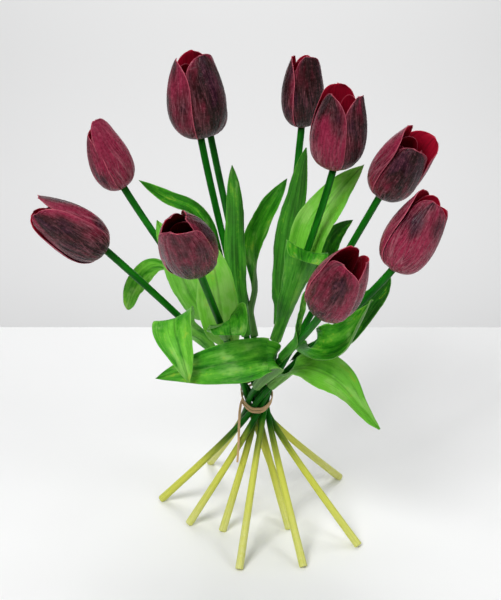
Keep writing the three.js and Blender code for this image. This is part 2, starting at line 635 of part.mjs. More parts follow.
TULIPS.forEach((tulip, i) => {
  place(`stem_${i + 1}`, stem(tulip), stemMaterial);
  place(`bloom_${i + 1}`, bloom(tulip, BLOOMS[i]), petalMaterial);
});
LEAVES.forEach((shape, i) => place(`leaf_${i + 1}`, leaf(shape), leafMaterial));
place('tie', tie(), raffiaMaterial);

export default bunch;
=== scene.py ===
from math import cos, hypot, radians, sin, tan
import bmesh
import bpy
import numpy as np
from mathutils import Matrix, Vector


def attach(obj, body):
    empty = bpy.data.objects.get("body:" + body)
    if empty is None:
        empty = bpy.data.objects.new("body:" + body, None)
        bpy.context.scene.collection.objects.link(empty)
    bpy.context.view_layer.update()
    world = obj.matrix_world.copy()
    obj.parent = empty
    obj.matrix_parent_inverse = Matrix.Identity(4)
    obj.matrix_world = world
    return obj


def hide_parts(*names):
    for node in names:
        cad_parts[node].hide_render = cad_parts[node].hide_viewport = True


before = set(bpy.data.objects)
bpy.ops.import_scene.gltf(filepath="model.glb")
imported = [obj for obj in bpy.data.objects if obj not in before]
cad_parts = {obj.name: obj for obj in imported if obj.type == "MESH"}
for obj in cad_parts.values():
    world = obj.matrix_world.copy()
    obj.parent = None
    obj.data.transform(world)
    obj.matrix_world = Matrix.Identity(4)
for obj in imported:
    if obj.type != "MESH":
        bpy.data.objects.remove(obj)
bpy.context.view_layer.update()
scene = bpy.context.scene
print("frame loaded:", len(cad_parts), "nodes")

# All sizes of the bunch are millimetres, measured from the tie's own axis.
footprintMiddle = np.array([-12.9, -6.3, 0.0])
waistHeight = 87.0
upwards = np.array([0.0, 0.0, 1.0])


# shader tools

class Wire:
    # one output socket, so that shader maths reads as ordinary sums

    def __init__(self, shader, socket):
        self.shader = shader
        self.socket = socket

    def worked(self, operation, first, second):
        return self.shader.node("Math", {0: first, 1: second}, operation=operation)

    def __add__(self, other):
        return self.worked("ADD", self, other)

    def __sub__(self, other):
        return self.worked("SUBTRACT", self, other)

    def __rsub__(self, other):
        return self.worked("SUBTRACT", other, self)

    def __mul__(self, other):
        return self.worked("MULTIPLY", self, other)

    def __truediv__(self, other):
        return self.worked("DIVIDE", self, other)

    __radd__ = __add__
    __rmul__ = __mul__

    def largest(self, other):
        return self.worked("MAXIMUM", self, other)

    def positive(self):
        return self.worked("ABSOLUTE", self, 0.0)

    def between(self, low, high):
        # 0 at low and 1 at high, with a soft start and end
        return self.shader.node("MapRange", {"Value": self, "From Min": low, "From Max": high},
                                interpolation_type="SMOOTHSTEP")


class Shader:
    # one material, its colours by name, and the nodes that are added to it

    def __init__(self, name, colours):
        self.colours = colours
        self.material = bpy.data.materials.new(name)
        self.material.use_nodes = True
        self.tree = self.material.node_tree
        self.tree.nodes.clear()

    def node(self, kind, values=None, output=0, **settings):
        # settings go first, because some of them change which sockets a node has
        made = self.tree.nodes.new("ShaderNode" + kind)
        for key, value in settings.items():
            setattr(made, key, value)
        for key, value in (values or {}).items():
            if isinstance(value, Wire):
                self.tree.links.new(value.socket, made.inputs[key])
            else:
                made.inputs[key].default_value = value
        return Wire(self, made.outputs[output]) if len(made.outputs) else made

    def painted(self, name):
        # the three numbers that a mesh carries at each point under this name
        read = self.node("Attribute", output="Vector", attribute_name=name)
        return [self.node("SeparateXYZ", {0: read}, k) for k in range(3)]

    def noise(self, place, scale=1.0, detail=3, roughness=0.5):
        # place: a position, or three values that stand for one
        if isinstance(place, tuple):
            place = self.node("CombineXYZ", dict(enumerate(place)))
        return self.node("TexNoise", {"Vector": place, "Scale": scale, "Detail": detail,
                                      "Roughness": roughness})

    def here(self):
        return self.node("TexCoord", output="Object")

    def blend(self, share, first, second):
        # colour first where share is 0 and second where it is 1
        return self.node("Mix", {0: share, 6: self.colour(first), 7: self.colour(second)}, 2,
                         data_type="RGBA")

    def coat(self, share, value, over=None):
        # one more colour over what is there, or over a first colour
        self.base = self.blend(share, over or self.base, value)

    def colour(self, value):
        return value if isinstance(value, Wire) else (*self.colours[value], 1)

    def bump(self, height, distance, strength=1.0):
        return self.node("Bump", {"Height": height, "Distance": distance, "Strength": strength})

    def finish(self, roughness, normal=None, specular=0.5, sheen=0):
        values = {"Base Color": self.base, "Roughness": roughness, "Specular IOR Level": specular,
                  "Sheen Weight": sheen}
        surface = self.node("BsdfPrincipled", {**values, "Normal": normal} if normal else values)
        self.node("OutputMaterial", {"Surface": surface})
        return self.material


# shapes: small maths

def heading(azimuth, rise):
    a, r = radians(azimuth), radians(rise)
    return np.array([cos(r) * cos(a), cos(r) * sin(a), sin(r)])


def unit(v):
    return v / np.maximum(np.linalg.norm(v, axis=-1, keepdims=True), 1e-9)


def mix(a, b, t):
    return a + (b - a) * t


def squareTo(ahead, v):
    # the part of v that is square to ahead, one unit long
    return unit(v - ahead * (v * ahead).sum(-1, keepdims=True))


def wholeTurn(count):
    return 2 * np.pi * np.arange(count) / count


def closingUp(count, closing):
    # places from -1 to 1 that close up towards both ends
    u = np.linspace(-1, 1, count)
    return np.sign(u) * (1 - (1 - np.abs(u)) ** closing)


def paint(*values):
    # six numbers at every point of a grid: across, along and seed, then the place among the veins,
    # the distance to the edge, and the tone. A stem has others, which stemSkin names.
    return np.stack(np.broadcast_arrays(*values), -1)


def ringsAround(places, right, up, x, y):
    # rows of points, x to the right of each place and y above it
    return places[:, None] + right[:, None] * x[..., None] + up[:, None] * y[..., None]


def bladeThickness(shape, edge):
    # thins out to a soft rim, by the distance to the edge
    rim, roundness, least, breadth = shape["rim"]
    soft = np.sqrt(np.clip(edge / roundness, least, 1))
    return rim * soft + (shape["thickness"] - rim) * np.clip(edge / breadth, 0, 1)


def softStep(t, low, high):
    s = np.clip((t - low) / (high - low), 0, 1)
    return s * s * (3 - 2 * s)


def smoothValue(values, t):
    # the value at place t of a list, joined by smooth curves through all of its values
    values = np.asarray(values, float)
    last = len(values) - 1
    i = np.clip(np.floor(t).astype(int), 0, last - 1)
    f = t - i
    if values.ndim > 1:
        f = f[..., None]
    here, after = values[i], values[i + 1]
    slopeIn = (after - values[np.maximum(i - 1, 0)]) / 2
    slopeOut = (values[np.minimum(i + 2, last)] - here) / 2
    f2, f3 = f * f, f * f * f
    return here * (2 * f3 - 3 * f2 + 1) + slopeIn * (f3 - 2 * f2 + f) + after * (3 * f2 - 2 * f3) \
        + slopeOut * (f3 - f2)


def turned(v, axis, angle):
    c, s = np.cos(angle)[..., None], np.sin(angle)[..., None]
    return v * c + np.cross(axis, v) * s + axis * (v * axis).sum(-1, keepdims=True) * (1 - c)


def bezier(p, t):
    t = t[..., None]
    s = 1 - t
    return p[0] * s ** 3 + p[1] * 3 * s * s * t + p[2] * 3 * s * t * t + p[3] * t ** 3


def hum(place, seed, octaves=3):
    # a smooth wandering number between about -1 and 1 along one direction
    dice = np.random.default_rng(seed)
    total = 0
    for k in range(octaves):
        total += np.sin(place * (1.0 + 1.7 * k + dice.random()) + dice.random() * 6.3) / (1 + 0.8 * k)
    return total / octaves * 1.3


# shapes: meshes

class Piece:
    # gathers points and faces, then becomes one object of the bunch
    weldReach = 2e-6  # metres

    def __init__(self, name, node, slot, materials):
        self.name, self.node, self.slot, self.materials = name, node, slot, materials
        self.points, self.paint, self.faces, self.looks = [], [], [], []
        self.count = 0

    def add(self, points, faces, paint, look):
        self.points.append(points.reshape(-1, 3))
        self.paint.append(np.broadcast_to(paint, (*points.shape[:-1], 6)).reshape(-1, 6))
        self.faces.append(faces + self.count)
        self.looks.append(np.broadcast_to(look, len(faces)))
        self.count += len(self.points[-1])

    def sheet(self, middle, normal, thickness, paint):
        # a thin closed blade over a grid of points: look 0 above, 1 below
        n, m = middle.shape[:2]
        half = normal * thickness[..., None] / 2
        i, j = np.meshgrid(np.arange(n - 1), np.arange(m - 1), indexing="ij")
        a = (i * m + j).ravel()
        upper = np.stack([a, a + 1, a + 1 + m, a + m], 1)
        lower = upper[:, ::-1] + n * m
        rim = np.concatenate([np.arange(m - 1), np.arange(n - 1) * m + m - 1,
                              (n - 1) * m + np.arange(m - 1, 0, -1), np.arange(n - 1, 0, -1) * m])
        after = np.roll(rim, -1)
        edge = np.stack([rim, rim + n * m, after + n * m, after], 1)
        faces = np.concatenate([upper, lower, edge])
        looks = np.repeat([0, 1, 0], [len(upper), len(lower), len(edge)])
        self.add(np.stack([middle + half, middle - half]), faces, paint, looks)

    def tube(self, rings, paint, look=0, closed=False):
        # rings of points, joined; open tubes are shut at both ends
        n, m = rings.shape[:2]
        i, j = np.meshgrid(np.arange(n if closed else n - 1), np.arange(m), indexing="ij")
        a, b = (i * m + j).ravel(), (i * m + (j + 1) % m).ravel()
        faces = np.stack([a, b, (b + m) % (n * m), (a + m) % (n * m)], 1)
        self.add(rings, faces, paint, look)
        if closed:
            return
        for k, order in ((0, -1), (n - 1, 1)):
            fan = [[0, 1 + side, 1 + (side + 1) % m][::order] for side in range(m)]
            faces = np.array([[*corners, corners[2]] for corners in fan])
            self.add(np.vstack([rings[k].mean(0), rings[k]]), faces, paint[k, 0], look)

    def build(self):
        points = (np.concatenate(self.points) - footprintMiddle) / 1000
        mesh = bpy.data.meshes.new(self.name)
        faces = [list(dict.fromkeys(f)) for f in np.concatenate(self.faces).tolist()]
        mesh.from_pydata(points.tolist(), [], faces)
        paint = np.concatenate(self.paint).astype(np.float32)
        for name, values in (("marks", paint[:, :3]), ("grain", paint[:, 3:])):
            layer = mesh.attributes.new(name, "FLOAT_VECTOR", "POINT")
            layer.data.foreach_set("vector", values.ravel())
        mesh.polygons.foreach_set("material_index", np.concatenate(self.looks).astype(np.int32))
        mesh.polygons.foreach_set("use_smooth", np.full(len(faces), True))
        for material in self.materials:
            mesh.materials.append(material)
        piece = bpy.data.objects.new(self.name, mesh)
        scene.collection.objects.link(piece)
        # end caps share the points of their tube
        work = bmesh.new()
        work.from_mesh(mesh)
        bmesh.ops.remove_doubles(work, verts=work.verts, dist=self.weldReach)
        work.to_mesh(mesh)
        work.free()
        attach(piece, "root")
        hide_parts(self.node)


# stems

stemSizes = {
    "footRadius": 2.7, "waistRadius": 1.95, "topRadius": 2.35,
    "taper": 1.3,  # how fast the foot's extra width runs out towards the tie
    "footSoftening": 0.7, "footTrim": 0.5,
    "bendShare": 0.16,  # the share of each half that runs straight at the tie
    "footShare": 0.45,  # where the lower half starts to bend
    "arrivalShare": 0.35,  # the share of the upper half that runs in under the bloom
    "arrivalTurn": 0.25,  # how far that stretch turns to the bloom's own axis
    "sunk": 0.5,  # into the bloom
    "sides": 20, "rowsBelow": 45, "rowsAbove": 60,
    "swell": 0.018, "fineSwell": 0.012,
    "lowest": 0.02,  # above the table
}

# the cut end from its dished middle over its soft rim: share of the radius, and rise
cutEnd = [(0.35, 0.45), (0.6, 0.3), (0.72, 0.04), (0.8, 0.0), (0.92, 0.22), (0.985, 0.5)]
cutFaceRings = 3  # the rings that show the inside of the stem

# foot: the cut end on the floor. waist: angle and distance from the tie's axis.
# lean: tilt and heading at the tie. base: where the bloom sits. axis: the bloom's heading and rise.
# pale: how far below the tie the stem is fully yellow-green.
tulips = [
    {"foot": [59.4, 41.6], "waist": [110, 6.4], "lean": [23, 190], "base": [-94.7, -12, 205],
     "axis": [192, 37], "pale": 34},
    {"foot": [68, -41.2], "waist": [64, 6.4], "lean": [21, 146], "base": [-87.2, 45, 223.9],
     "axis": [196, 66], "pale": 50},
    {"foot": [22, -20.7], "waist": [80, 2.2], "lean": [0, 90], "base": [-36.4, 54, 254.6],
     "axis": [174, 84], "pale": 34},
    {"foot": [23.6, -8.5], "waist": [154, 6.4], "lean": [21, 244], "base": [-35.3, -80, 227],
     "axis": [247, 56], "pale": 30},
    {"foot": [-11.6, -67.4], "waist": [335, 6.4], "lean": [27, 61], "base": [29.6, 76, 254],
     "axis": [281, 87], "pale": 36},
    {"foot": [-23.3, -23.4], "waist": [272, 2.2], "lean": [4, 5], "base": [48.2, 18, 247.6],
     "axis": [349, 85], "pale": 34},
    {"foot": [-46.2, -15.3], "waist": [291, 6.4], "lean": [26, 27], "base": [79, 22, 228.4],
     "axis": [326, 61], "pale": 38},
    {"foot": [-66.4, 14], "waist": [247, 6.4], "lean": [25, 328], "base": [82.4, -42, 206],
     "axis": [6, 62], "pale": 62},
    {"foot": [-33.3, 61.4], "waist": [198, 6.4], "lean": [18, 305], "base": [37.5, -97, 205],
     "axis": [318, 63], "pale": 30},
    {"foot": [30.5, -64.9], "waist": [21, 6.4], "lean": [25, 109], "base": [-31.7, 100, 240.3],
     "axis": [244, 72], "pale": 42},
]


def stemCurves(tulip):
    sizes = stemSizes
    turn, out = radians(tulip["waist"][0]), tulip["waist"][1]
    waist = np.array([cos(turn) * out, sin(turn) * out, waistHeight])
    lean = heading(tulip["lean"][1], 90 - tulip["lean"][0])
    base = np.array(tulip["base"])
    flatFoot = np.array([*tulip["foot"], 0.0])
    slope = unit(flatFoot - waist)
    slant = hypot(slope[0], slope[1])
    radius, softening = sizes["footRadius"], sizes["footSoftening"]
    drop = max((radius - softening) * slant, radius * slant + softening * slope[2])
    foot = flatFoot + upwards * (drop - sizes["footTrim"])
    below = np.linalg.norm(foot - waist)
    above = np.linalg.norm(base - waist)
    beforeTie = waist - lean * below * sizes["bendShare"]
    afterTie = waist + lean * above * sizes["bendShare"]
    arrival = unit(mix(unit(base - waist), heading(*tulip["axis"]), sizes["arrivalTurn"]))
    return ([foot, mix(foot, beforeTie, sizes["footShare"]), beforeTie, waist],
            [waist, afterTie, base - arrival * above * sizes["arrivalShare"], base])


def upperStem(tulip):
    # a stem's place, direction and radius at distances from the tie along its upper curve
    steps = 200
    places = bezier(stemCurves(tulip)[1], np.linspace(0, 1, steps + 1))
    legs = np.linalg.norm(np.diff(places, axis=0), axis=1)
    travelled = np.append(0, np.cumsum(legs))

    def at(distance):
        i = np.clip(np.searchsorted(travelled, distance), 1, steps)
        f = ((distance - travelled[i - 1]) / legs[i - 1])[..., None]
        radius = mix(stemSizes["waistRadius"], stemSizes["topRadius"], distance / travelled[-1])
        return mix(places[i - 1], places[i], f), unit(places[i] - places[i - 1]), radius

    return at


def makeStem(number, tulip, material):
    sizes = stemSizes
    below = sizes["rowsBelow"]
    lower, upper = stemCurves(tulip)
    t0, t1 = np.linspace(0, 1, below + 1)[:-1], np.linspace(0, 1, sizes["rowsAbove"])
    places = np.vstack([bezier(lower, t0), bezier(upper, t1)])
    radii = np.append(mix(sizes["waistRadius"], sizes["footRadius"], (1 - t0) ** sizes["taper"]),
                      mix(sizes["waistRadius"], sizes["topRadius"], t1))
    legs = np.linalg.norm(np.diff(places, axis=0), axis=1)
    along = np.append(0, np.cumsum(legs))
    along -= along[below]  # nothing at the tie, less than nothing below it
    start = unit(places[1] - places[0])
    end = heading(*tulip["axis"])
    ends = [places[0] + start * rise for _, rise in cutEnd]
    places[0] = places[0] + start * sizes["footSoftening"]
    places[1] = mix(places[0], places[2], 0.5)
    places[-1] = places[-1] + end * sizes["sunk"]
    places = np.vstack([ends, places])
    radii = np.append([sizes["footRadius"] * share for share, _ in cutEnd], radii)
    along = np.append(np.full(len(cutEnd), along[0]), along)
    ahead = np.gradient(places, axis=0)
    ahead[:len(cutEnd) + 1] = start
    ahead[-1] = end
    ahead = unit(ahead)
    across = -upwards
    angles = wholeTurn(sizes["sides"])
    rings = []
    for place, radius, forward, far in zip(places, radii, ahead, along):
        across = squareTo(forward, across)
        up = np.cross(forward, across)
        # three broad ridges and five fine ones wind slowly along the stem
        swell = 1 + sizes["swell"] * np.sin(3 * angles + far * 0.013 + number) \
            + sizes["fineSwell"] * np.sin(5 * angles - far * 0.02)
        rings.append(place + (radius * swell)[:, None] * (np.outer(np.cos(angles), across)
                                                         + np.outer(np.sin(angles), up)))
    rings = np.array(rings)
    rings[..., 2] = np.maximum(rings[..., 2], sizes["lowest"])
    cutFace = np.arange(len(rings)) < cutFaceRings
    piece = Piece(f"stem.{number}", f"stem_{number}", "stem", [material])
    piece.tube(rings, paint(np.sin(angles), np.cos(angles), number * 1.37,
                            along[:, None], tulip["pale"], cutFace[:, None]))
    piece.build()


# blooms

# height: stem end to petal tips. belly: widest radius. mouth: radius at the tips.
# spin: the angle of the first petal. splay: what each outer petal adds to the mouth's radius.
# lift: what each petal adds to the height. shoulder: where a petal starts to narrow, if not at the
# usual share of its length. dark: how dark each petal is, or how dark near its root and near its
# tip. Outer and inner petals take turns, the outer ones first.
blooms = [
    {"height": 52, "belly": 15.4, "mouth": 7, "spin": 266, "shoulder": {0: 0.68, 2: 0.7},
     "splay": [-1, 1, 0], "lift": [2, -4, 4, -2, 0, -4],
     "dark": [(0.8, 0.65), 0.4, (0.5, 0.55), 0.4, 0.5, 0.4]},
    {"height": 50, "belly": 13.4, "mouth": 4, "spin": 204,
     "splay": [0, 2, -2], "lift": [-5, -4, 3, -4, -4, -7],
     "dark": [(0.3, 0.4), 0.2, (-0.5, -0.3), 0.3, 0.4, 0.3]},
    {"height": 53, "belly": 18.2, "mouth": 9, "spin": 198, "shoulder": {0: 0.68, 2: 0.74},
     "splay": [1, 1, 0], "lift": [3, -2, 5, -4, 4, 0],
     "dark": [(0.7, 0.6), 0.4, (1.25, 0.75), 0.4, 0.5, 0.4]},
    {"height": 46, "belly": 16.4, "mouth": 10, "spin": 264, "shoulder": {0: 0.74, 2: 0.6},
     "splay": [2, -4, -4], "lift": [8, -9, 1, -9, 2, -9],
     "dark": [(1.0, 0.5), 0.4, (0.9, 0.6), 0.4, (0.5, 0.4), 0.4]},
    {"height": 48, "belly": 13.2, "mouth": 7, "spin": 298, "shoulder": {0: 0.7, 2: 0.68, 4: 0.68},
     "splay": [0, 0, 0], "lift": [4, -3, 0, 0, 2, -3],
     "dark": [(1.05, 0.95), 0.7, (1.0, 0.9), 0.7, (1.0, 0.8), 0.7]},
    {"height": 52, "belly": 16.8, "mouth": 10, "spin": 219,
     "splay": [-1, 2, 0], "lift": [0, -8, 0, 0, 2, 0],
     "dark": [(-0.3, 0.9), 0.3, (0.9, 0.75), 0.3, 0.4, 0.3]},
    {"height": 49, "belly": 15.4, "mouth": 8, "spin": 282, "shoulder": {0: 0.78, 2: 0.72},
     "splay": [0, 12, 0], "lift": [-2, -2, -2, 0, 6, -3],
     "dark": [(0.65, 0.9), 0.3, (0.6, 0.5), 0.3, (0.35, 0.3), 0.3]},
    {"height": 51, "belly": 15.6, "mouth": 8, "spin": 262, "shoulder": {0: 0.76, 2: 0.68, 3: 0.68},
     "splay": [-1, 4, 1], "lift": [1, -5, -3, 5, 2, 0],
     "dark": [(-0.1, 0.5), 0.4, (0.6, 0.5), 0.4, 0.4, 0.4]},
    {"height": 47, "belly": 15.6, "mouth": 10, "spin": 245, "shoulder": {0: 0.72},
     "splay": [0, -1, -6], "lift": [0, -12, 1, -15, 6, -8],
     "dark": [(0.8, 0.5), 0.4, (0.7, 0.6), 0.4, 0.4, 0.4]},
    {"height": 45, "belly": 13.4, "mouth": 6, "spin": 200,
     "splay": [0, 0, 0], "lift": [0, 0, 0, 0, 0, 0], "dark": [0.6, 0.5, 0.6, 0.5, 0.6, 0.5]},
]

petalShape = {
    "rows": 56, "columns": 37,
    "closing": 1.25,  # how much the columns close up towards the edges
    "thickness": 0.62,
    "rim": (0.34, 0.25, 0.12, 1.1),  # its thickness, roundness, least share and breadth
    "shoulder": 0.66, "tipRoundness": 2.4,
    "tipWidth": 0.1,  # share of the full width that is left at the very tip
    "fullness": 0.975,  # of the solid's widest radius
    "mouth": 0.97,  # of the solid's radius at the tips
    "rootRadius": 1.2, "rootDip": 0.3,
    "lowPull": 1.42,  # how far the side's curve is drawn out, low down and high up
    "highPull": 1.24, "highPullAt": 0.64,
    "crease": 0.3,  # depth of the groove down the middle
    "flutes": 0.26,  # depth of the long folds either side
    "wave": 0.35,  # how far the free edges wander
    "curl": 0.7,
    "inset": 0.2,  # how far the finer petal lies inside the solid one
    "innerRelief": 0.5,  # how much of that relief the inner petals have
}

# inset and mouthInset: how far inside the outer layer. reach: half its turn round the bloom.
# lap: how far one edge stands out over the next petal, near the root and near the tip.
petalLayers = [
    {"inset": 0, "mouthInset": 0, "height": 0.995, "reach": 66, "root": 1.3, "lap": (0.45, 1.1)},
    {"inset": 1.35, "mouthInset": 1.3, "height": 0.93, "reach": 54, "root": 3.4, "lap": (0, 0)},
]


def shoulderOf(bloom, index):
    return bloom.get("shoulder", {}).get(index, petalShape["shoulder"])


def petalTip(v, shoulder):
    # a petal's width as a share of its full width: whole up to the shoulder, then a round tip
    past = np.clip((v - shoulder) / (1 - shoulder), 0, 1)
    return np.maximum(petalShape["tipWidth"],
                      np.sqrt(np.maximum(0, 1 - past ** petalShape["tipRoundness"])))


def petalSurface(bloom, index, u, v):
    # a petal's middle surface and half its width; u runs across it, v from the root to the tip
    shape, layer = petalShape, petalLayers[index % 2]
    belly = bloom["belly"] * shape["fullness"] - layer["inset"]
    splay = 0 if index % 2 else bloom["splay"][index // 2]
    mouth = (bloom["mouth"] + splay) * shape["mouth"] - layer["mouthInset"]
    height = (bloom["height"] + bloom["lift"][index]) * layer["height"]
    root = layer["root"]
    line = bezier(np.array([[shape["rootRadius"], 0, root],
                            [belly * shape["lowPull"], 0, root - shape["rootDip"]],
                            [belly * shape["highPull"], 0, height * shape["highPullAt"]],
                            [mouth, 0, height]]), v)
    rho = line[..., 0]
    # towards the tip the blade keeps its breadth and its roll while the bloom closes in
    roll = np.maximum(mix(rho, belly * 0.8, v * v), 2.5)
    wide = mix(rho, belly * 0.9, 0.45 * v * v)
    halfWidth = wide * radians(layer["reach"]) * petalTip(v, shoulderOf(bloom, index))
    angle = u * halfWidth / roll
    out = roll + mix(*layer["lap"], v) * u
    turn = bloom["spin"] + 60 * index
    away, side = heading(turn, 0), heading(turn + 90, 0)
    place = (rho - roll + out * np.cos(angle))[..., None] * away \
        + (out * np.sin(angle))[..., None] * side + line[..., 2:3] * upwards
    return place, halfWidth


def petalGrid(shoulder):
    # rows close up towards the tip, columns towards both edges
    shape = petalShape
    low = np.linspace(0, shoulder, shape["rows"] * 3 // 5, endpoint=False)
    high = shoulder + (1 - shoulder) * np.sin(np.linspace(0, np.pi / 2, shape["rows"] - len(low)))
    v, u = np.meshgrid(np.append(low, high), closingUp(shape["columns"], shape["closing"]), indexing="ij")
    return u, v


def petalRelief(index, seed, u, v, vein):
    # how far folds, groove, wandering edges and curled tip rise off the smooth form
    shape = petalShape
    dice = np.random.default_rng(seed)
    free = softStep(v, 0.12, 0.4)
    folds = hum(vein * 9 + 0.7 * np.sin(v * 4 + seed), seed, 4) * shape["flutes"] * free
    groove = -np.exp(-(u / 0.07) ** 2) * shape["crease"] * softStep(v, 0.02, 0.2) * (1 - 0.6 * v)
    nearEdge = softStep(np.abs(u), 0.55, 1) * free
    wave = hum(v * 7 + 3 * np.sign(u), seed + 500) * shape["wave"] * nearEdge * mix(0.3, 1, v)
    curl = (dice.random() - 0.2) * softStep(v, 0.86, 1) * shape["curl"]
    share = shape["innerRelief"] if index % 2 else 1
    return (folds + groove + wave * share + curl) * share - shape["inset"]


def addPetal(piece, tulip, bloom, number, index):
    seed = number * 10 + index
    shoulder = shoulderOf(bloom, index)
    u, v = petalGrid(shoulder)
    step = 1e-3
    place, halfWidth = petalSurface(bloom, index, u, v)
    du = petalSurface(bloom, index, u + step, v)[0] - petalSurface(bloom, index, u - step, v)[0]
    ahead, behind = np.minimum(v + step, 1), np.maximum(v - step, 0)
    dv = petalSurface(bloom, index, u, ahead)[0] - petalSurface(bloom, index, u, behind)[0]
    normal = unit(np.cross(du, dv))
    edge = np.minimum((1 - np.abs(u)) * halfWidth, (1 - v) * bloom["height"] * 1.15)
    vein = u * petalTip(v, shoulder) ** 0.6 * mix(0.75, 1, v)
    place = place + normal * petalRelief(index, seed, u, v, vein)[..., None]
    dark = mix(*np.broadcast_to(bloom["dark"][index], 2), v)
    turnTo = np.array(bloomFrame(tulip))
    piece.sheet(place @ turnTo + np.array(tulip["base"]), normal @ turnTo,
                bladeThickness(petalShape, edge), paint(u, v, seed * 0.713, vein, edge, dark))


def bloomFrame(tulip):
    axis = heading(*tulip["axis"])
    right = unit(np.cross([0, 1, 0], axis))
    return right, np.cross(axis, right), axis


# the knob that carries the petals, swelling out of the stem: radius and height
knobSide = [(2.3, 0), (2.5, 0.15), (2.95, 0.5), (3.7, 1.0), (4.2, 1.6), (4.25, 2.8), (4.0, 4.4),
            (2.6, 5.2), (0.8, 5.5)]
knobCorners = 28
knobLobes = 0.035


def makeBloom(number, tulip, bloom, materials):
    piece = Piece(f"bloom.{number}", f"bloom_{number}", "petal", materials)
    right, back, axis = bloomFrame(tulip)
    base = np.array(tulip["base"])
    angles = wholeTurn(knobCorners)
    lobes = 1 + knobLobes * np.cos(3 * angles - radians(3 * bloom["spin"]))
    around = np.outer(np.cos(angles), right) + np.outer(np.sin(angles), back)
    rings = np.array([base + axis * z + r * lobes[:, None] * around for r, z in knobSide])
    rise = np.array([[z / knobSide[-1][1]] for _, z in knobSide])
    piece.tube(rings, paint(0, rise, number, 0, rise, number), look=2)
    for index in range(6):
        addPetal(piece, tulip, bloom, number, index)
    piece.build()


# leaves

